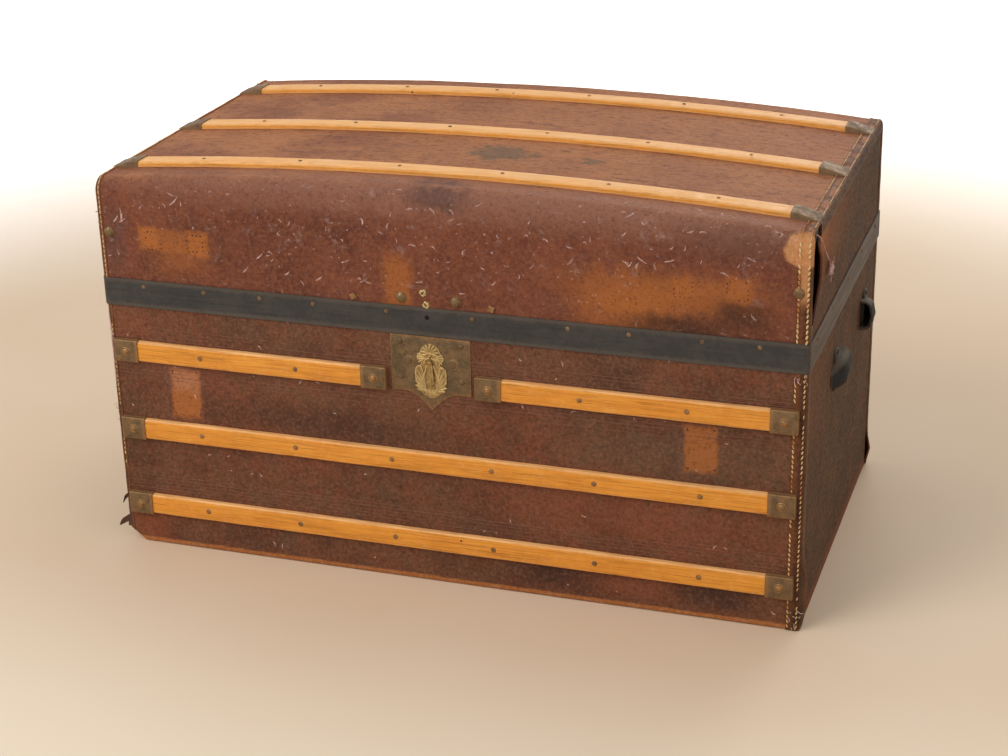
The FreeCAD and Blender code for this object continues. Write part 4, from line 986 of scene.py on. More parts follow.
def band_iron(colours):
    """Japanned iron band: even satin black, dusty like the leather at the ends, with one old nail hole
    painted near black as its shade.
    """
    board, shader, place = surface("Band Iron")
    along = board.maths("ABSOLUTE", board.axes(place)["X"])
    tarnish = board.group("Tarnish", Place=place, Scale=0.6)
    brush = board.noise(board.stretched(place, 12.0, 12.0, 260.0), 1.0, 4.0, 0.65)
    colour = board.lay(colours.band_black, (tarnish["Mask"], 0.22, colours.band_dust))
    colour = board.mix(board.ramp(brush, 0.50, 0.74, 0.0, 0.35), colour, colours.iron)
    ends = board.ramp(along, BAND_END, BAND_END + 0.0010)
    dusty = board.ramp(tarnish["Mask"], 0.0, 1.0, 0.40, 0.70)
    colour = board.lay(colour, (ends, dusty, colours.end_olive))
    colour = board.mix(board.rubbed(place, 0.55), colour, colours.band_dust)
    # The old nail hole, painted near black as the shade inside it.
    hole = board.patch(place, (-0.013, -LID_Y, 0.365), (0.003, 0.02, 0.003), 0.2, 0.0005, 1.0)
    colour = board.mix(hole, colour, NAIL_HOLE_SHADE)
    board.feed(shader["Metallic"], board.ramp(tarnish["Mask"], 0.0, 1.0, 0.25, 0.10))
    height = board.minus(board.times(brush, 0.5), board.times(hole, 3.0))
    board.finish(shader, colour, board.ramp(brush, 0.2, 0.8, 0.44, 0.66), height, 0.0003)


def linen(name, light, dark):
    """Waxed thread with the slant of its twist."""
    board, shader, place = surface(name)
    twist = board.node("TexWave", {"Vector": place, "Scale": 260.0, "Distortion": 1.0},
                       bands_direction="DIAGONAL")["Fac"]
    dirt = board.noise(place, 40.0, 4.0, 0.7)
    colour = board.lay(light, (twist, 0.35, dark))
    colour = board.mix(board.ramp(dirt, 0.45, 0.66), colour, dark)
    board.finish(shader, colour, board.ramp(dirt, 0.0, 1.0, 0.6, 0.85), twist, 0.0004)


class TRUNK_OT_finishes(bpy.types.Operator):
    """Make the leathers, woods, metals and thread"""

    bl_idname = "trunk.finishes"
    bl_label = "Finishes"

    def execute(self, context):
        tones = context.scene.trunk_colours
        for effect in (make_soft_patch, make_mottle, make_hide_grain, make_scuffs, make_wood_grain,
                       make_edge_wear, make_tarnish):
            effect()
        for hide in (lid_hide, base_hide, end_hide, binding_hide, grazed_hide, board_wood, band_iron):
            hide(tones)
        slat_wood("Front Slat Ash", tones.slat_honey, tones.slat_bleached_and_lit, tones.slat_amber, 0.34)
        slat_wood("Top Slat Ash", tones.slat_honey, tones.slat_bleached_and_lit, tones.slat_honey, 0.40)
        for name, bright, dull, metal, gloss, edge, scale, dust in (
            ("Cap Bronze", "bronze", "bronze_dark", 0.40, 0.46, "copper", 1.0, None),
            ("Cap Steel", "steel", "steel_dark", 0.35, 0.48, "steel", 1.0, None),
            ("Shield Brass", "brass", "brass_dark", 0.55, 0.38, "brass_rubbed_and_lit", 2.0, None),
            ("Cover Brass", "brass", "brass_dark", 0.55, 0.38, "brass_rubbed_and_lit", 2.4, None),
            ("Nail Brass", "brass", "copper", 0.65, 0.34, "brass", 1.6, None),
            ("Old Brass", "bronze", "brass_dark", 0.45, 0.24, "brass_rubbed_and_lit", 1.6, None),
            ("Rivet Copper", "copper", "bronze", 0.45, 0.34, "brass", 1.6, None),
            ("Nail Iron", "copper", "bronze_dark", 0.50, 0.42, "bronze", 2.0, None),
            ("Slat Nail", "copper", "bronze_dark", 0.20, 0.46, "copper", 2.0, None),
            ("Cast Iron", "iron", "iron", 0.10, 0.62, "band_dust", 0.8, "iron_dust"),
            ("Hinge Steel", "steel", "steel_dark", 0.70, 0.40, "steel", 0.9, None),
        ):
            old_metal(name, getattr(tones, bright), getattr(tones, dull), metal, gloss, getattr(tones, edge),
                      scale, dust and getattr(tones, dust))
        linen("Linen Thread", tones.thread, tones.scar)
        linen("Frayed Fibre", tones.scuff, tones.lid_tan)
        # Dark dots of painted shade for the needle holes.
        linen("Needle Holes", tones.base_dark, tones.iron)
        return {"FINISHED"}


# Pieces.


def chip(piece):
    """Break the base's front left foot off a piece."""
    with editing(piece):
        cut_through(BREAK_PLACE, BREAK_FACING, use_fill=True, clear_outer=True)


class TRUNK_OT_boards(bpy.types.Operator):
    """Give the boards, hinges and lock parts that keep their CAD shape their finishes"""

    bl_idname = "trunk.boards"
    bl_label = "Boards, Hinges and Lock Parts"

    # Finishes, and words in the names of the nodes that get them.
    kept = {"Pine Boards": ("_board", "_rail"), "Hinge Steel": ("hinge_", "lock_case", "lock_bolt")}

    def execute(self, context):
        for finish, words in self.kept.items():
            for node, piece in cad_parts.items():
                if any(word in node for word in words):
                    piece.data.materials.clear()
                    piece.data.materials.append(bpy.data.materials[finish])
        for node in ("bottom_board", "base_front_board", "base_left_board"):
            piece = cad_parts[node].copy()
            piece.data = piece.data.copy()
            piece.name = piece.data.name = node + "_chipped"
            context.scene.collection.objects.link(piece)
            with editing(piece):
                weld()
            chip(piece)
            settle(piece, "base", "carcass_wood", "Pine Boards", node)
        return {"FINISHED"}


class TRUNK_OT_lid_leather(bpy.types.Operator):
    """Stretch the hide over the lid's front, crown and back"""

    bl_idname = "trunk.lid_leather"
    bl_label = "Lid Leather"

    def execute(self, context):
        sizes = context.scene.trunk_sizes
        left, right = LEFT_BINDING - LID_X, COVER_HIGH.x
        piece = lid_block("lid_leather", left, right, SEAM)
        with editing(piece):
            cut_off(lambda f: abs(f.normal.x) > 0.9 or f.normal.z < -0.9)
            saw("X", left, right, 56)
            saw("Y", -LID_Y + EDGE_ROUND, LID_Y - EDGE_ROUND, 28)
            saw("Z", SEAM, LID_END_TOP - EDGE_ROUND, 8)
            bpy.ops.mesh.select_all(action="SELECT")
            bpy.ops.mesh.subdivide(number_cuts=1)
        shape(piece, bowed)
        swell(piece, 0.10, sizes.swell)
        swell(piece, 0.025, sizes.swell * 0.4)
        thicken(piece, HIDE)
        settle(piece, "lid", "lid_leather", "Lid Hide", "lid_leather_cover")
        return {"FINISHED"}


class TRUNK_OT_base_leather(bpy.types.Operator):
    """Lay the hide on the base's front and back, with a rounded foot"""

    bl_idname = "trunk.base_leather"
    bl_label = "Base Leather"

    def execute(self, context):
        sizes = context.scene.trunk_sizes
        for side in ("front", "back"):
            low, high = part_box(f"base_{side}_leather")
            low = Vector((LEFT_BINDING - BASE_X, low.y, low.z))
            out = -1 if side == "front" else 1
            face = low.y if out < 0 else high.y
            piece = block(f"base_{side}_hide", low, high)
            with editing(piece):
                round_edges(0.0022, 4, y=face, z=low.z)
                saw("X", low.x, high.x, 90)
                saw("Z", low.z, high.z, 36)
            swell(piece, 0.09, sizes.swell * 0.5)
            if out < 0:
                drill(piece)
                chip(piece)
            settle(piece, "base", "base_leather", "Base Hide", f"base_{side}_leather")
        return {"FINISHED"}


def split(y, z):
    """How far open the torn seam at the lid's right front edge is, from 0 to 1."""
    up = held((z - SPLIT_FOOT) / SPLIT_OPENS) * held((LID_END_TOP + 0.002 - z) / SPLIT_CLOSES)
    near = held((SPLIT_END - LID_Y - y) / SPLIT_REACH)
    return up * near * near


class TRUNK_OT_end_leather(bpy.types.Operator):
    """Lay the hide on both ends, lifted along the split seam of the right lid end"""

    bl_idname = "trunk.end_leather"
    bl_label = "End Leather"

    def execute(self, context):
        sizes = context.scene.trunk_sizes
        for side, sign in (("left", -1), ("right", 1)):
            low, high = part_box(f"base_{side}_leather")
            piece = block(f"base_{side}_hide", low, high)
            with editing(piece):
                saw("Y", low.y, high.y, 52)
                saw("Z", low.z, high.z, 36)
            swell(piece, 0.07, sizes.swell * 0.6)
            if sign < 0:
                chip(piece)
            settle(piece, "base", "end_leather", "End Hide", f"base_{side}_leather")

            low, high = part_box(f"lid_{side}_leather")
            piece = lid_block(f"lid_{side}_hide", low.x, high.x, SEAM - BINDING_WIDTH)
            with editing(piece):
                cut_off(lambda f: f.normal.x * sign < 0.9)
                bpy.ops.mesh.select_all(action="SELECT")
                bpy.ops.mesh.inset(thickness=BINDING_WIDTH, depth=0)
                bpy.ops.mesh.select_all(action="INVERT")
                bpy.ops.mesh.delete(type="FACE")
                saw("Y", low.y, high.y, 64)
                saw("Z", low.z, high.z, 24)
            swell(piece, 0.06, sizes.swell * 0.6)
            if sign > 0:
                shape(piece, lambda p: p + Vector((sizes.split_lift, -0.006, 0)) * split(p.y, p.z))
            thicken(piece, STRIP)
            settle(piece, "lid", "end_leather", "End Hide", f"lid_{side}_leather", angle=50)
        return {"FINISHED"}


def curled_foot(p):
    """Lift the right binding's end leg off the hide over the foot, most at its free edge."""
    free = held((BASE_Y - abs(p.y)) / BINDING_WIDTH)
    reach, top = (0.0055, 0.105) if p.y < 0 else (0.0065, 0.060)
    up = held((top - p.z) / 0.035) * min(1, 0.15 + p.z / 0.03)
    leg = p.x > BASE_X - 0.004
    return p + Vector((reach * free * up * leg, 0, 0))


class TRUNK_OT_bindings(bpy.types.Operator):
    """Fold the binding strips over the corners of the base and round the lid's ends"""

    bl_idname = "trunk.bindings"
    bl_label = "Bindings"

    def execute(self, context):
        sizes = context.scene.trunk_sizes
        for side, sign, width in (("left", -1, LEFT_BINDING), ("right", 1, BINDING_WIDTH)):
            node = f"base_{side}_bindings"
            strips = [self.base_strip(low, high, sign, width, sizes) for low, high in solids(node)]
            piece = join(f"base_{side}_binding_strips", *strips)
            settle(piece, "base", "binding_leather", "Binding Hide", node, angle=50)
            self.lid_strip(side, sign, width, sizes)
        return {"FINISHED"}

    def base_strip(self, low, high, sign, width, sizes):
        """Strip folded over one upright corner of the base."""
        depth = math.copysign(1, low.y + high.y)
        proud = sizes.binding_proud
        outer = Vector((sign * (BASE_X + proud), depth * (BASE_Y + proud), 0))
        inner = Vector((sign * (BASE_X - width), depth * (BASE_Y - BINDING_WIDTH), 0))
        corners = [Vector(map(pick_one, inner, outer)) for pick_one in (min, max)]
        strip = block("strip", (*corners[0].xy, low.z), (*corners[1].xy, high.z))
        with editing(strip):
            cut_off(lambda f: f.normal.x * sign < 0.9 and f.normal.y * depth < 0.9)
            round_edges(0.0048, 5, x=outer.x, y=outer.y)
            saw("Z", low.z, high.z, 70)
        swell(strip, 0.022, sizes.swell * 0.7)
        if sign > 0:
            shape(strip, curled_foot)
        thicken(strip, STRIP)
        if sign + depth < -1:
            chip(strip)
        return strip

    def lid_strip(self, side, sign, width, sizes):
        """Strip round the edge of one end of the lid, cut away along the split seam."""
        proud = sizes.binding_proud
        inner, outer = sorted((sign * (LID_X - width), sign * (LID_X + proud)))
        piece = lid_block(f"lid_{side}_binding_strip", inner, outer, SEAM - BINDING_WIDTH, proud)
        face = sign * (LID_X + proud)
        with editing(piece):
            cut_off(lambda f: f.normal.x * sign < -0.9 or f.normal.z < -0.99)
            pick("FACE", lambda f: f.normal.x * sign > 0.9)
            bpy.ops.mesh.inset(thickness=BINDING_WIDTH, depth=0)
            bpy.ops.mesh.delete(type="FACE")
            pick("EDGE", lambda e: len(e.link_faces) == 2 and abs(middle(e).x - face) < NEAR
                 and e.calc_face_angle(0) > 1)
            bpy.ops.mesh.bevel(offset=0.0042, segments=4, affect="EDGES")
            saw("Y", -LID_Y, LID_Y, 70)
            saw("Z", SEAM, LID_END_TOP, 30)
            cut_through((0, 0, SEAM), (0, 0, 1), clear_inner=True)
            if sign > 0:
                cut_off(lambda f: middle(f).x > LID_X - 0.0005
                        and 0.009 < middle(f).y + LID_Y < 0.0515
                        and split(0.0085 - LID_Y, middle(f).z) > 0.05)
        shape(piece, bowed)
        swell(piece, 0.022, sizes.swell * 0.7)
        thicken(piece, STRIP)
        settle(piece, "lid", "binding_leather", "Binding Hide", f"lid_{side}_binding", angle=50)


class TRUNK_OT_seams(bpy.types.Operator):
    """Sew the bindings down with rows of waxed linen stitches"""

    bl_idname = "trunk.seams"
    bl_label = "Seams"

    # Side, inset of the row from the end, thickness of its thread on the base, the lid's front and
    # its top, and slant of its stitches.
    rows = (
        (1, 0.0140, 0.80, 1.0, 0.46, 14), (1, 0.0030, 0.70, 1.05, 0.50, -18),
        (-1, 0.0050, 0.60, 0.66, 0.60, 4))
    # Stretches of the left front seam that still have their thread, as heights.
    left_over = ((0.111, 0.153), (0.200, 0.260), (0.290, 0.314))

    def execute(self, context):
        sizes = context.scene.trunk_sizes
        chance = random.Random(4)
        proud = sizes.binding_proud + sizes.thread_round * 0.4
        base, lid = [], []
        for sign, inset, thick, front, top, slant in self.rows:
            path = []
            for depth in (-1, 1):
                heights = self.run(sizes, 0.006, 0.338)
                if (sign, depth) == (-1, -1):
                    heights = [z for z in heights if any(low < z < high for low, high in self.left_over)]
                path += [(Vector((sign * (BASE_X - inset), depth * (BASE_Y + proud), z)),
                          Vector((0, depth, 0)), Vector((0, 0, 1)), thick, 0.86) for z in heights]
            base += self.sewn(path, sizes, chance, slant)
            path = []
            for walk in self.run(sizes, 0.024, ARCH_LENGTH - 0.006):
                place, out = arch(walk, proud)
                above = out[1] > 0.5
                path.append((bowed(Vector((sign * (LID_X - inset), *place))), Vector((0, *out)),
                             Vector((0, out[1], -out[0])), top if above else front, 1.3 if above else 1.0))
            lid += self.sewn(path, sizes, chance, slant)
        for body, places in (("base", base), ("lid", lid)):
            piece = strew(f"{body}_stitches", self.stitch(), places)
            settle(piece, body, "binding_leather", "Linen Thread", angle=60)
        return {"FINISHED"}

    def run(self, sizes, start, end):
        count = int((end - start) / sizes.stitch_pitch)
        return [start + (end - start) * i / count for i in range(count + 1)]

    def sewn(self, path, sizes, chance, slant):
        """A stitch at each place of a path: place, outward, along, thickness and share of its length."""
        places = []
        for place, out, along, thick, long in path:
            if chance.random() < 0.04:
                continue
            turn = Matrix((along.cross(out), along, out)).transposed().to_4x4()
            lean = Matrix.Rotation(math.radians(chance.gauss(slant if long <= 1 else 0, 4)), 4, "Z")
            size = Matrix.Diagonal((sizes.thread_round * thick * chance.uniform(0.85, 1.15),
                                    sizes.stitch_length * long / 2 * chance.uniform(0.9, 1.1),
                                    sizes.thread_round * thick, 1))
            places.append(Matrix.Translation(place) @ turn @ lean @ size)
        return places

    def stitch(self):
        """One plump stitch that dips into the hide at both ends."""
        piece = ball("stitch", 8, 6)
        shape(piece, lambda p: Vector((p.x, math.copysign(abs(p.y) ** 0.75, p.y), p.z - 0.5 * p.y**2)))
        return piece


def beaten(p):
    """Beat a top slat and its cap down towards the trunk's end."""
    centre, half = (TOP_CAPS_LOW.x + TOP_CAPS_HIGH.x) / 2, (TOP_CAPS_HIGH.x - TOP_CAPS_LOW.x) / 2
    reach = abs(p.x - centre) - half + TRUNK_OT_caps.long
    foot = LID_END_TOP + crown(min(LID_X, abs(p.x)))
    return p - Vector((0, 0, max(0, p.z - foot) * TRUNK_OT_caps.beat * held(reach / TRUNK_OT_caps.long)))


class TRUNK_OT_slats(bpy.types.Operator):
    """Shape the wooden slats on the front and along the crown"""

    bl_idname = "trunk.slats"
    bl_label = "Slats"

    def execute(self, context):
        sizes = context.scene.trunk_sizes
        for name in ("upper_left", "upper_right", "middle", "lower"):
            low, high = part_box(f"front_slat_{name}")
            piece = self.planed(f"slat_front_{name}", low, high, sizes, y=low.y)
            swell(piece, 0.05, 0.0007)
            settle(piece, "base", "slat_wood", "Front Slat Ash", f"front_slat_{name}")
        for name in ("front", "middle", "rear"):
            low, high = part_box(f"top_slat_{name}")
            thick = high.z - COVER_HIGH.z
            start = Vector((low.x, low.y, LID_END_TOP))
            end = Vector((high.x, high.y, LID_END_TOP + thick))
            piece = self.planed(f"slat_top_{name}", start, end, sizes, z=end.z)
            shape(piece, lambda p: beaten(bowed(p)))
            swell(piece, 0.05, 0.0007)
            settle(piece, "lid", "slat_wood", "Top Slat Ash", f"top_slat_{name}")
        return {"FINISHED"}

    def planed(self, name, low, high, sizes, **face):
        """Straight slat with the long edges of its outer face rounded."""
        piece = block(name, low, high)
        with editing(piece):
            round_edges(sizes.slat_round, 4, x=(low.x + high.x) / 2, **face)
            saw("X", low.x, high.x, 60)
        return piece


class TRUNK_OT_caps(bpy.types.Operator):
    """Bend the metal caps round the slats' ends"""

    bl_idname = "trunk.caps"
    bl_label = "Slat Caps"

    # Length of a top cap that is beaten down, and the share of its height that it loses.
    long = 0.030
    beat = 0.82

    def execute(self, context):
        sizes = context.scene.trunk_sizes
        left_ends = [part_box(f"front_slat_{name}")[0].x for name in ("upper_left", "upper_right", "lower")]
        for side, body, slot, finish, axis, sign, wave in (
                ("front", "base", "cap_bronze", "Cap Bronze", "Y", -1, 0.0005),
                ("top", "lid", "cap_steel", "Cap Steel", "Z", 1, 0.0006)):
            caps = []
            for low, high in solids(f"{side}_slat_caps"):
                outer = math.copysign(1, low.x + high.x)
                if side == "front":
                    outer = -1 if any(abs(low.x - end) < 0.003 for end in left_ends) else 1
                caps.append(self.cap(low, high, outer, axis, sign, sizes))
            piece = join(f"slat_caps_{side}", *caps)
            if side == "top":
                shape(piece, beaten)
            swell(piece, 0.02, wave)
            settle(piece, body, slot, finish, f"{side}_slat_caps")
        return {"FINISHED"}

    def cap(self, low, high, outer, axis, sign, sizes):
        """Thin box without a back, open where the slat enters it."""
        piece = block("cap", low, high)
        index = "XYZ".index(axis)
        back = high[index] if sign < 0 else low[index]
        with editing(piece):
            cut_off(lambda f: abs(middle(f)[index] - back) < NEAR or f.normal.x * outer < -0.9)
            round_edges(sizes.cap_round, 3)
            saw("X", low.x, high.x, 6)
        thicken(piece, 0.0011)
        return piece


class TRUNK_OT_band(bpy.types.Operator):
    """Fold the iron band round the lid's lower edge"""

    bl_idname = "trunk.band"
    bl_label = "Lid Band"

    def execute(self, context):
        low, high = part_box("lid_band")
        piece = block("lid_edge_band", low, high)
        with editing(piece):
            cut_off(lambda f: abs(f.normal.z) > 0.9 or f.normal.y > 0.9)
            round_edges(0.0055, 5)
            saw("X", low.x, high.x, 80)
            saw("Y", low.y, high.y, 30)
            saw("Z", low.z, high.z, 4)
        swell(piece, 0.06, 0.0007)
        thicken(piece, 0.0012)
        settle(piece, "lid", "band_metal", "Band Iron", "lid_band")
        return {"FINISHED"}


class TRUNK_OT_fasteners(bpy.types.Operator):
    """Set the nails, rivets and studs where the CAD has them"""

    bl_idname = "trunk.fasteners"
    bl_label = "Nails and Rivets"

    # How much wider than its CAD shape a hammered slat nail is.
    spread = 1.35
    # Node, new piece, body, slot, finish, kind of head and how far it stands out.
    heads = (
        ("front_cap_rivets", "cap_rivets", "base", "nail_brass", "Rivet Copper", "rivet", 0.0034),
        ("lock_plate_studs", "lock_studs", "base", "nail_brass", "Cap Bronze", "dome", None),
        ("lid_dome_nails", "dome_nails", "lid", "nail_brass", "Old Brass", "dome", 0.0046),
        ("front_slat_nails", "slat_nails_front", "base", "nail_iron", "Slat Nail", "flat", 0.0016),
        ("top_slat_nails", "slat_nails_top", "lid", "nail_iron", "Nail Iron", "flat", 0.0018),
        ("top_cap_nails", "cap_nails_top", "lid", "cap_steel", "Cap Steel", "rivet", 0.0020),
        ("band_nails", "edge_band_nails", "lid", "nail_iron", "Cap Steel", "flat", 0.0020),
        ("hasp_rivets", "rivet_stubs", "lid", "nail_iron", "Nail Iron", "square", 0.0024),
        ("handle_cap_nails", "handle_nails", "base", "nail_iron", "Cast Iron", "flat", 0.0036),
    )

    def execute(self, context):
        chance = random.Random(9)
        for node, name, body, slot, finish, kind, height in self.heads:
            places = []
            for tip, radius, out in fasteners(node):
                tip = beaten(tip) if node == "top_cap_nails" else tip
                radius *= self.spread if node == "front_slat_nails" else 1
                stands = height or abs(tip.y - PLATE_LOW.y) + 0.0003
                places.append(seated(tip, radius, out, stands, chance.uniform(0, 6.28)))
            piece = strew(name, getattr(self, kind)(), places)
            settle(piece, body, slot, finish, node, angle=50)
        return {"FINISHED"}

    def dome(self):
        """Round head."""
        piece = ball("dome", 24, 16)
        with editing(piece):
            cut_through((0, 0, 0), (0, 0, 1), use_fill=True, clear_inner=True)
        return piece

    def flat(self):
        """Low hammered head."""
        piece = self.dome()
        shape(piece, lambda p: Vector((p.x, p.y * (1 + 0.06 * p.x), p.z**0.6 * (1 - 0.12 * (p.x > 0.3)))))
        return piece

    def square(self):
        """Stub of a square rivet with a burred edge."""
        piece = block("square", (-0.9, -0.9, 0), (0.9, 0.9, 0.8))
        with editing(piece):
            pick("FACE", lambda f: f.normal.z > 0.9)
            bpy.ops.mesh.inset(thickness=0.32, depth=0.2)
            round_edges(0.1, 2)
        return piece

    def rivet(self):
        """Round head in a dished washer."""
        head = self.dome()
        shape(head, lambda p: Vector((p.x * 0.78, p.y * 0.78, p.z)))
        washer = add("torus", "washer", major_radius=0.88, minor_radius=0.12,
                     major_segments=28, minor_segments=8)
        shape(washer, lambda p: Vector((p.x, p.y, max(0, p.z) * 2)))
        return join("rivet", head, washer)


class TRUNK_OT_lock(bpy.types.Operator):
    """Make the lock's plate, its pressed shell escutcheon and the hanging keyhole cover"""

    bl_idname = "trunk.lock"
    bl_label = "Lock"

    back_thick = 0.0012
    # Height above the floor and half width of the escutcheon's outline.
    outline = (
        (0.2590, 0.0030), (0.2625, 0.0090), (0.2670, 0.0135), (0.2720, 0.0170), (0.2780, 0.0195),
        (0.2840, 0.0205), (0.2920, 0.0208), (0.2985, 0.0195), (0.3005, 0.0150), (0.3040, 0.0122),
        (0.3070, 0.0140), (0.3095, 0.0172), (0.3130, 0.0178), (0.3165, 0.0165), (0.3190, 0.0135),
        (0.3225, 0.0122), (0.3260, 0.0102), (0.3290, 0.0070), (0.3310, 0.0015))
    # Raised leaves of the right half: place across and up, angle from upright, length, half width, relief.
    leaves = (
        *((0.0, 0.3186, angle, 0.0122, 0.0021, 0.0022) for angle in (0, 27, 54, 81, 108)),
        *((0.0048, 0.3118, angle, 0.0130, 0.0020, 0.0016) for angle in (66, 84, 102, 120)),
        *((0.0058, 0.2680, angle, size, 0.0023, 0.0014) for angle, size in (
            (12, 0.031), (23, 0.030), (35, 0.026), (50, 0.020), (68, 0.0165), (86, 0.0130))),
        *((0.0, 0.2705, angle, 0.0112, 0.0021, 0.0014) for angle in (112, 134, 157, 180)),
        (0.0036, 0.3140, 40, 0.0050, 0.0016, 0.0022), (0.0, 0.3128, 0, 0.0075, 0.0024, 0.0030),
    )

    def execute(self, context):
        self.middle_x = (SHIELD_LOW.x + SHIELD_HIGH.x) / 2
        self.plate()
        self.escutcheon()
        self.cover()
        return {"FINISHED"}

    def plate(self):
        """Bronze plate with level shoulders, a pointed drop, a turned edge and two pressed bosses."""
        half, shoulder = (PLATE_HIGH.x - PLATE_LOW.x) / 2, PLATE_LOW.z + 0.024

        def placed(across, up):
            point = max(0, 1 - abs(2 * across) / 0.66) ** 1.7
            low = shoulder + (PLATE_LOW.z - shoulder) * point
            return Vector((self.middle_x + 2 * across * half, PLATE_HIGH.y, low + up * (PLATE_HIGH.z - low)))

        piece = sheet("lock_face_plate", 48, 6, placed)
        thicken(piece, PLATE_HIGH.y - PLATE_LOW.y, 1)
        modify(piece, "BEVEL", width=0.0005, segments=2, limit_method="ANGLE")
        drill(piece)
        bosses = []
        for across in (-0.0285, 0.0295):
            boss = add(
                "torus", "boss", major_radius=0.0055, minor_radius=0.0016, major_segments=32,
                minor_segments=8, location=(self.middle_x + across, PLATE_LOW.y, 0.306),
                rotation=(math.pi / 2, 0, 0))
            shape(boss, lambda p: Vector((p.x, PLATE_LOW.y + (p.y - PLATE_LOW.y) * 0.5, p.z)))
            bosses.append(boss)
        piece = join("lock_face_plate", piece, *bosses)
        settle(piece, "base", "cap_bronze", "Cap Bronze", "lock_plate")

    def half_width(self, height):
        for (low, first), (high, second) in zip(self.outline, self.outline[1:]):
            if height <= high:
                return first + (second - first) * (height - low) / (high - low)

    def escutcheon(self):
        """Backing plate with a shell fan, side shells, a collar, plumes, a plinth and a leafy foot."""
        low, high = self.outline[0][0], self.outline[-1][0]
        face = SHIELD_HIGH.y - self.back_thick

        def placed(across, up):
            height = low + min(up, 0.99999) * (high - low)
            return Vector((self.middle_x + 2 * across * self.half_width(height), SHIELD_HIGH.y, height))

        back = sheet("backing", 12, 90, placed)
        thicken(back, self.back_thick, 1)
        drill(back)
        places = []
        for across, up, angle, long, wide, relief in self.leaves:
            for side in (-1, 1) if across or angle % 180 else (1,):
                turn = Matrix.Rotation(math.radians(side * angle), 4, "Y")
                size = Matrix.Diagonal((wide, relief, long, 1))
                places.append(Matrix.Translation((self.middle_x + side * across, face, up)) @ turn @ size)
        raised = [strew("leaves", self.leaf(), places)]
        for side in (-1, 1):
            for start, bend, end, round_ in (
                    ((0.0042, 0.3030), (0.0066, 0.2930), (0.0118, 0.2815), 0.0013),
                    ((0.0118, 0.2985), (0.0150, 0.3030), (0.0178, 0.2985), 0.0010),
                    ((0.0070, 0.2765), (0.0082, 0.2720), (0.0062, 0.2672), 0.0011),
                    ((0.0015, 0.3118), (0.0085, 0.3105), (0.0080, 0.3040), 0.0011)):
                line = [(self.middle_x + side * x, face, z) for x, z in (start, bend, end)]
                raised.append(tube("bar", [line], round_))
        raised.append(self.plinth(0.0128, 0.0128, 0.2778, 0.2808, face))
        raised.append(self.plinth(0.0056, 0.0078, 0.2672, 0.2762, face))
        piece = join("fan_escutcheon", back, *raised)
        shape(piece, lambda p: Vector((p.x, max(p.y, SHIELD_LOW.y) if p.z < 0.3125 else p.y, p.z)))
        settle(piece, "base", "escutcheon_brass", "Shield Brass", "lock_escutcheon", angle=60)

    def leaf(self):
        """One plump leaf with a groove down its middle, narrow at its root, on a flat back."""
        piece = ball("leaf", 12, 10)
        shape(piece, lambda p: Vector((
            p.x * (0.35 + 0.65 * (p.z + 1) / 2), min(p.y * (0.7 + 0.3 * abs(p.x)), 0.1), (p.z + 1) / 2)))
        return piece

    def plinth(self, foot, top, low, high, face):
        """Raised panel, wider at one end, with a sunk field."""
        piece = block("plinth", (-1, face - 0.0012, low), (1, face + 0.0002, high))
        shape(piece, lambda p: Vector((
            self.middle_x + p.x * (foot if p.z < (low + high) / 2 else top), p.y, p.z)))
        with editing(piece):
            pick("FACE", lambda f: f.normal.y < -0.9)
            bpy.ops.mesh.inset(thickness=0.0008, depth=-0.0005)
            round_edges(0.0002, 2)
        return piece

    def cover(self):
        """Long drop on its pin, round at the top, with a raised rim and a ridge."""
        low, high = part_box("keyhole_cover")
        half, centre = (high - low) / 2, (low + high) / 2

        def placed(across, up):
            head, side = max(0, (up - 0.80) / 0.20), abs(2 * across)
            wide = (0.62 + 0.38 * min(1, (1 - up) / 0.75)) * math.sqrt(max(0, 1 - head**2))
            wide *= math.sqrt(max(0, 1 - max(0, (0.20 - up) / 0.20) ** 2))
            rise = 0.35 + 0.45 * (side > 0.6) + 0.65 * max(0, 1 - side / 0.30)
            return Vector((centre.x + 2 * across * wide * half.x, high.y - rise * half.y * 1.3,
                           low.z + up * 2 * half.z))

        drop = sheet("keyhole_drop", 20, 40, placed)
        with editing(drop):
            weld()
        thicken(drop, 0.0005)
        settle(drop, "keyhole_cover", "escutcheon_brass", "Cover Brass", "keyhole_cover", angle=60)
        low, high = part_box("keyhole_cover_pin")
        tip = Vector(((low.x + high.x) / 2, low.y, (low.z + high.z) / 2))
        head = strew("keyhole_pin", TRUNK_OT_fasteners.dome(self),
                     [seated(tip, (high.x - low.x) / 2, Vector((0, -1, 0)), 0.0016)])
        shank = add(
            "cylinder", "shank", vertices=16, radius=0.0012, depth=high.y - low.y - 0.0010,
            rotation=(math.pi / 2, 0, 0), location=(tip.x, (low.y + high.y) / 2 + 0.0003, tip.z))
        head = join("keyhole_pin", head, shank)
        settle(head, "base", "escutcheon_brass", "Nail Brass", "keyhole_cover_pin", angle=50)


def drill(piece):
    """Cut the keyhole through a piece."""
    low, high = Vector((-0.0135, -BASE_Y - 0.007, 0.2815)), Vector((-0.0085, -BASE_Y + 0.006, 0.2915))
    cutter = block("keyhole", low, high)
    with editing(cutter):
        round_edges(0.0024, 6, y=(low.y + high.y) / 2)
    modify(piece, "BOOLEAN", operation="DIFFERENCE", object=cutter, solver="EXACT")
    bpy.data.objects.remove(cutter)


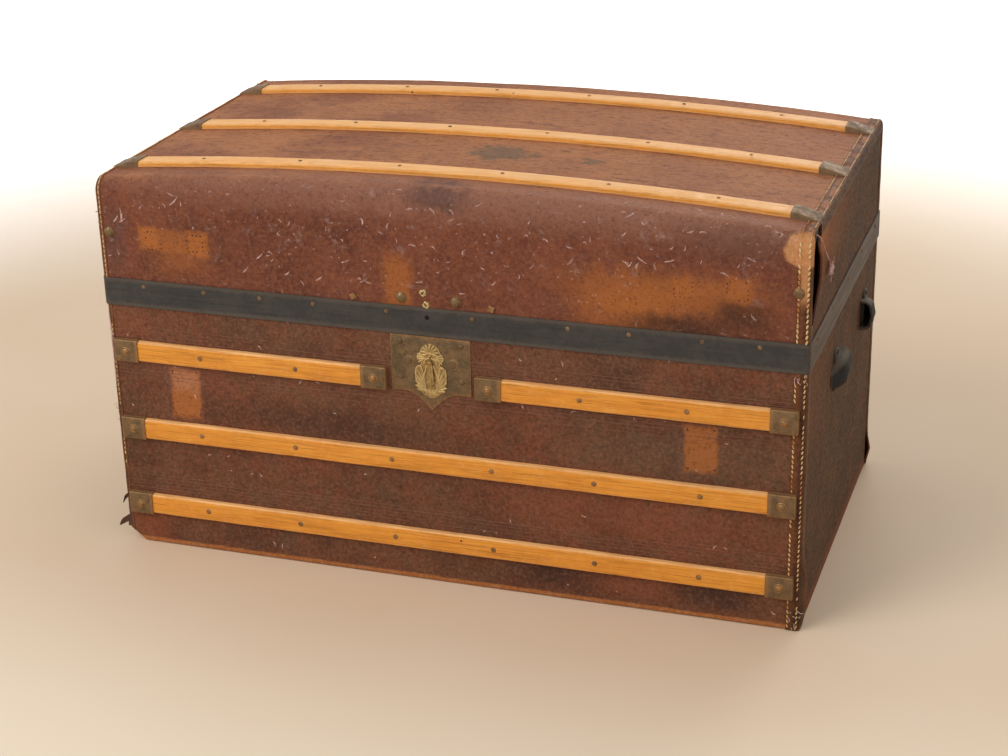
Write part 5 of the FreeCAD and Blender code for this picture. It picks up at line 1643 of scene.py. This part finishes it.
class TRUNK_OT_handle_caps(bpy.types.Operator):
    """Cast the four hoods that held the handle straps"""

    bl_idname = "trunk.handle_caps"
    bl_label = "Handle Caps"

    wall, lug, flange, flange_half = 0.0030, 0.010, 0.0026, 0.0115

    def execute(self, context):
        for side, sign in (("left", -1), ("right", 1)):
            for end, mouth in (("front", 1), ("rear", -1)):
                node = f"handle_cap_{side}_{end}"
                piece = self.hood(*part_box(node), sign, mouth)
                piece.name = piece.data.name = f"handle_hood_{side}_{end}"
                settle(piece, "base", "handle_iron", "Cast Iron", node, angle=50)
        return {"FINISHED"}

    def hood(self, low, high, sign, mouth):
        """Ribbed scoop, open towards the other one, on a flange with two lugs."""
        foot, proud = (low.x if sign > 0 else high.x), high.x - low.x - self.wall / 2
        shut, wide = (low.y if mouth > 0 else high.y), high.y - low.y
        centre, half = (low + high) / 2, (high.z - low.z) / 2 - self.lug

        def placed(across, up):
            """An arch that rises from the shut end, which hangs lower, to the mouth."""
            turn, rise = across * math.pi, math.sin(min(1, up / 0.62) * math.pi / 2)
            out = proud * rise * max(0, math.cos(turn)) ** 0.5 * (0.97 + 0.03 * math.cos(8 * turn))
            return Vector((foot + sign * out, shut + mouth * up * wide,
                           centre.z - 0.007 * (1 - up) + half * (0.30 + 0.70 * rise) * math.sin(turn)))

        hood = sheet("hood", 28, 24, placed)
        thicken(hood, self.wall, 0)
        shape(hood, lambda p: Vector((min(max(p.x, low.x), high.x), min(max(p.y, low.y), high.y), p.z)))
        inner, outer = sorted((foot, foot + sign * self.flange))
        plate = block("flange", (inner, centre.y - self.flange_half, low.z),
                      (outer, centre.y + self.flange_half, high.z))
        with editing(plate):
            round_edges(0.0105, 6, x=(inner + outer) / 2)
            pick("FACE", lambda f: f.normal.x * sign > 0.9)
            bpy.ops.mesh.inset(thickness=0.0008, depth=0.0004)
        return join("hood", hood, plate)


class TRUNK_OT_loose_bits(bpy.types.Operator):
    """Add the torn eyelets, the sewn marks of the lost straps, loose threads and torn hide"""

    bl_idname = "trunk.loose_bits"
    bl_label = "Marks and Loose Threads"

    # Grazed stretches of the lid: strokes, from and to along it, from and to up its front, longest stroke.
    grazed = (
        (3, -0.45, -0.42, 0.092, 0.106, 0.018), (3, -0.40, -0.33, 0.115, 0.142, 0.018),
        (2, -0.45, -0.43, 0.048, 0.060, 0.010), (9, -0.26, -0.04, 0.085, 0.125, 0.011),
        (9, -0.26, -0.07, 0.034, 0.068, 0.015), (12, 0.00, 0.14, 0.034, 0.145, 0.012),
        (8, 0.13, 0.26, 0.085, 0.152, 0.016), (7, 0.27, 0.40, 0.100, 0.145, 0.015),
        (5, 0.41, 0.43, 0.146, 0.154, 0.010))

    def execute(self, context):
        sizes = context.scene.trunk_sizes
        self.eyelets()
        self.needle_holes()
        self.grazes()
        self.threads(sizes)
        self.torn_hide()
        return {"FINISHED"}

    def eyelets(self):
        """Two torn eyelets over the lock."""
        rings = []
        for across, up in ((-0.0176, 0.3965), (-0.0143, 0.3810)):
            ring = add(
                "torus", "eyelet", major_radius=0.0031, minor_radius=0.0017, major_segments=24,
                minor_segments=8, location=(across, -LID_Y - 0.0002, up), rotation=(math.pi / 2, 0, 0))
            shape(ring, lambda p: p + Vector((
                0.0006 * math.sin(900 * p.z), 0, 0.0008 * math.sin(1100 * p.x))))
            rings.append(ring)
        piece = join("torn_eyelets", *rings)
        settle(piece, "lid", "nail_brass", "Old Brass", angle=50)

    def needle_holes(self):
        """Dark dots of painted shade standing for the holes left where the lost straps were sewn on: squares
        on the lid, corners on the base.
        """
        chance = random.Random(12)
        for body, face, squares, shares in (
            ("lid", LID_Y, ((-0.391, -0.370, 0.4205, 0.4440), (-0.334, -0.312, 0.4225, 0.4440),
                            (0.296, 0.318, 0.4220, 0.4445), (0.359, 0.384, 0.4240, 0.4460)),
             (0.1, 0.35, 0.6, 0.85)),
            ("base", BASE_Y, ((-0.371, -0.336, 0.196, 0.256), (0.314, 0.349, 0.203, 0.256)), (0.02, 0.06)),
        ):
            places = []
            for left, right, low, high in squares:
                corners = [(left, low), (right, low), (right, high), (left, high), (left, low)]
                for (x0, z0), (x1, z1) in zip(corners, corners[1:]):
                    for share in shares:
                        size = chance.uniform(0.0006, 0.0011)
                        if chance.random() < 0.8:
                            spot = Vector((x0 + (x1 - x0) * share, -face, z0 + (z1 - z0) * share))
                            places.append(Matrix.Translation(spot) @ Matrix.Diagonal((size, 0.0007, size, 1)))
            piece = strew(f"needle_holes_{body}", ball("hole", 10, 6), places)
            settle(piece, body, f"{body}_leather", "Needle Holes", angle=60)

    def grazes(self):
        """Pale flakes where the lid's hide was grazed, most of them under and on its front edge."""
        chance = random.Random(33)
        places = []
        for count, left, right, low, high, longest in self.grazed:
            for _ in range(count):
                place, out = arch(chance.uniform(low, high))
                spot = bowed(Vector((chance.uniform(left, right), *place)))
                spin = Vector((0, *out)).to_track_quat("Z", "Y").to_matrix().to_4x4()
                lean = Matrix.Rotation(chance.choice((0.7, 0.7, 1.5, -0.5)) + chance.gauss(0, 0.3), 4, "Z")
                long = longest * chance.uniform(0.35, 1.0)
                wide = 0.0003 + long * chance.uniform(0.03, 0.07)
                size = Matrix.Diagonal((long / 2, wide, 1, 1))
                places.append(Matrix.Translation(spot) @ spin @ lean @ size)

        def placed(across, up):
            end = 2 * across
            half = (1 - end**2) ** 0.6 * (1 - 0.45 * end) + 0.05
            return Vector((end, (2 * up - 1) * half + 0.9 * end**2, 0))

        piece = strew("grazed_flakes", sheet("flake", 8, 2, placed), places)
        modify(piece, "SHRINKWRAP", target=bpy.data.objects["lid_leather"], offset=0.00015,
               wrap_mode="ABOVE_SURFACE")
        thicken(piece, 0.0002, 1)
        settle(piece, "lid", "lid_leather", "Grazed Hide", angle=60)

    def threads(self, sizes):
        """Ends of thread that came loose, and one with a tangled tuft."""
        chance = random.Random(21)
        face = LID_X + 0.0016
        lines = [[(face, -LID_Y + 0.012, 0.5075), (face + 0.001, -0.220, 0.4960),
                  (face + 0.0012, -0.178, 0.4600), (face + 0.001, -0.150, 0.4400)]]
        knot = Vector((face + 0.0014, -0.150, 0.4360))
        for _ in range(12):
            lines.append([knot + Vector((chance.uniform(0, 0.003), chance.gauss(0, 0.009),
                                         chance.gauss(0, 0.0045))) for _ in range(6)])
        lines.append([knot, knot + Vector((0.001, 0.004, -0.010)), knot + Vector((0.0006, 0.001, -0.020))])
        piece = tube("loose_thread", lines, sizes.thread_round * 0.5, 1)
        settle(piece, "lid", "binding_leather", "Frayed Fibre", angle=60)

        lines = []
        for count, low, high, shift, lean, long in (
            (10, (-BASE_X, -BASE_Y, 0.22), (-BASE_X, -BASE_Y + 0.004, 0.335), (0.0014, 0.0014, 0),
             (-0.3, -0.5, -0.4), 0.0030),
            (9, (-BASE_X, -BASE_Y, 0.176), (-BASE_X, -BASE_Y + 0.003, 0.200), (0.0014, 0.0014, 0),
             (-0.4, -0.5, -0.3), 0.0050),
            (14, (BASE_X - 0.016, -BASE_Y, 0.328), (BASE_X, -BASE_Y, 0.340), (0, -0.0012, 0),
             (0.2, -0.5, -0.4), 0.0050),
            (8, (BASE_X - 0.016, -BASE_Y, 0.003), (BASE_X, -BASE_Y, 0.030), (0, -0.001, 0),
             (0.5, -0.5, 0.1), 0.0075),
        ):
            for _ in range(count):
                start = Vector(map(chance.uniform, low, high)) + Vector(shift)
                lines.append(self.strand(start, Vector(lean), long, chance))
        piece = tube("frayed_threads_base", lines, 0.00034, 0)
        settle(piece, "base", "binding_leather", "Frayed Fibre", angle=60)

        lines = []
        for count, low, high, inset, lean, long in (
                (8, 0.090, 0.112, (0.0010, 0.0040), -0.2, 0.0026),
                (14, ARCH_LENGTH - 0.19, ARCH_LENGTH - 0.12, (-0.001, 0.012), 0.1, 0.0060)):
            for _ in range(count):
                place, out = arch(chance.uniform(low, high), 0.0008)
                start = Vector((-LID_X + chance.uniform(*inset), *place))
                lines.append(self.strand(start, Vector((lean, *(v * 0.7 for v in out))), long, chance))
        piece = tube("frayed_threads_lid", lines, 0.00034, 0)
        settle(piece, "lid", "binding_leather", "Frayed Fibre", angle=60)

    def strand(self, start, lean, long, chance):
        """One short crooked fibre."""
        line, step = [start], lean * long / 3
        for _ in range(3):
            line.append(line[-1] + step + Vector([chance.gauss(0, long / 5) for _ in range(3)]))
        return line

    def torn_hide(self):
        """Tongues of torn leather at the base's front left foot."""
        tongues = []
        for base_z, reach, drop, wide, depth in (
            (0.031, 0.0155, -0.012, 0.014, 0.000), (0.066, 0.0085, -0.014, 0.008, 0.003),
            (0.026, 0.0040, -0.008, 0.014, 0.004),
        ):
            piece = block("tongue", (0, 0, -0.5), (1, 0.0016, 0.5))
            with editing(piece):
                saw("X", 0, 1, 8)
                saw("Z", -0.5, 0.5, 4)

            def torn(p):
                narrow = 1 - 0.75 * p.x**1.4 + 0.10 * math.sin(9 * p.x + 40 * base_z)
                return Vector((
                    -BASE_X + 0.004 - (reach + 0.004) * p.x,
                    -BASE_Y - 0.0010 + p.y + depth * p.x - 0.004 * math.sin(3 * p.x) * p.z,
                    base_z + p.z * wide * narrow + drop * p.x**2))

            shape(piece, torn)
            tongues.append(piece)
        piece = join("torn_foot_leather", *tongues)
        settle(piece, "base", "binding_leather", "Binding Hide", angle=50)


OPERATORS = (
    TRUNK_OT_finishes, TRUNK_OT_boards, TRUNK_OT_lid_leather, TRUNK_OT_base_leather,
    TRUNK_OT_end_leather, TRUNK_OT_bindings, TRUNK_OT_seams, TRUNK_OT_slats, TRUNK_OT_caps,
    TRUNK_OT_band, TRUNK_OT_fasteners, TRUNK_OT_lock, TRUNK_OT_handle_caps, TRUNK_OT_loose_bits,
)


class TRUNK_OT_stage(bpy.types.Operator):
    """Set up the floor, the soft studio light and the camera"""

    bl_idname = "trunk.stage"
    bl_label = "Stage"

    # Where the photograph was taken from, in metres and degrees.
    camera_place = (0.8260, -2.4209, 1.2470)
    camera_azimuth = 18.95
    camera_elevation = 22.612
    camera_roll = -1.412
    camera_lens = 72.26
    # Name, place, width and watts of each lamp.
    lamps = (
        ("Key", (-1.5, -2.2, 2.5), 2.2, 58.0), ("Fill", (2.6, -1.4, 1.6), 2.4, 7.0),
        ("Back", (0.6, 2.6, 2.2), 2.4, 34.0))
    # The floor's front colour is painted light.
    white, floor_near, floor_far = (1, 1, 1, 1), (0.96, 0.82, 0.64, 1), (0.9, 0.88, 0.86, 1)

    def execute(self, context):
        scene = context.scene
        scene.view_settings.view_transform = "Standard"
        self.floor(scene.trunk_colours)
        self.world(scene)
        for lamp in self.lamps:
            self.lamp(*lamp)
        self.camera(scene)
        return {"FINISHED"}

    def floor(self, tones):
        floor = add("circle", "studio_floor", vertices=128, radius=9, fill_type="TRIFAN",
                    location=(0, 0, -0.0004))
        board, shader, place = surface("Studio Floor")
        away = board.vector("LENGTH", place)
        cloud = board.noise(place, 2.2, 3.0)
        colour = board.mix(board.ramp(cloud, 0.3, 0.7, 0.0, 0.06), tones.floor, self.white)
        # Paler and warmer towards the front: painted light falling on the floor's front, which also bounces
        # onto the trunk's lower parts.
        near = board.ramp(board.axes(place)["Y"], -0.75, -0.3, 0.8, 0.0)
        colour = board.mix(near, colour, self.floor_near)
        colour = board.mix(board.ramp(away, 1.0, 3.2), colour, self.floor_far)
        board.feed(shader["Base Color"], colour)
        shader["Emission Color"].default_value = self.white
        seen = board.node("LightPath", {})["Is Camera Ray"]
        board.feed(shader["Emission Strength"], board.times(seen, board.ramp(away, 1.1, 2.6)))
        shader["Roughness"].default_value = 0.6
        floor.data.materials.append(bpy.data.materials["Studio Floor"])

    def world(self, scene):
        world = bpy.data.worlds.new("Studio")
        scene.world = world
        world.use_nodes = True
        board = Board(world.node_tree)
        path = board.node("LightPath", {})
        seen = board.maths("MAXIMUM", path["Is Camera Ray"], board.maths(
            "MAXIMUM", path["Is Glossy Ray"], path["Is Transmission Ray"]))
        strength = board.node("Mix", {0: seen, 2: 0.48, 3: 1.0})[0]
        back = world.node_tree.nodes["Background"].inputs
        back["Color"].default_value = (1.0, 0.985, 0.96, 1)
        board.feed(back["Strength"], strength)

    def lamp(self, name, place, size, watts):
        light = bpy.data.lights.new(name, "AREA")
        light.shape = "DISK"
        light.size = size
        light.energy = watts
        lamp = linked(name, light)
        lamp.location = place
        aim = Vector((0, 0, 0.25)) - Vector(place)
        lamp.rotation_euler = aim.to_track_quat("-Z", "Y").to_euler()

    def camera(self, scene):
        data = bpy.data.cameras.new("Camera")
        data.lens = self.camera_lens
        data.sensor_width = 36
        camera = linked("Camera", data)
        turn = Matrix.Rotation(math.radians(self.camera_azimuth), 4, "Z")
        tilt = Matrix.Rotation(math.radians(90 - self.camera_elevation), 4, "X")
        roll = Matrix.Rotation(math.radians(self.camera_roll), 4, "Z")
        camera.matrix_world = Matrix.Translation(self.camera_place) @ turn @ tilt @ roll
        scene.camera = camera


class TRUNK_PT_panel(bpy.types.Panel):
    """Lists the trunk's pieces, sizes and colours"""

    bl_idname = "TRUNK_PT_panel"
    bl_label = "Dome Top Trunk"
    bl_space_type = "VIEW_3D"
    bl_region_type = "UI"
    bl_category = "Trunk"

    def draw(self, context):
        for operator in (*OPERATORS, TRUNK_OT_stage):
            self.layout.operator(operator.bl_idname)
        for group in (context.scene.trunk_sizes, context.scene.trunk_colours):
            box = self.layout.box()
            for name in group.bl_rna.properties.keys():
                if name not in ("rna_type", "name"):
                    box.prop(group, name)


CLASSES = (TrunkSizes, TrunkColours, *OPERATORS, TRUNK_OT_stage, TRUNK_PT_panel)


def register():
    for made in CLASSES:
        bpy.utils.register_class(made)
    bpy.types.Scene.trunk_sizes = bpy.props.PointerProperty(type=TrunkSizes)
    bpy.types.Scene.trunk_colours = bpy.props.PointerProperty(type=TrunkColours)


def unregister():
    del bpy.types.Scene.trunk_colours
    del bpy.types.Scene.trunk_sizes
    for made in reversed(CLASSES):
        bpy.utils.unregister_class(made)


def main():
    register()
    for operator in (TRUNK_OT_stage, *OPERATORS):
        group, name = operator.bl_idname.split(".")
        getattr(getattr(bpy.ops, group), name)()


if __name__ == "__main__":
    main()
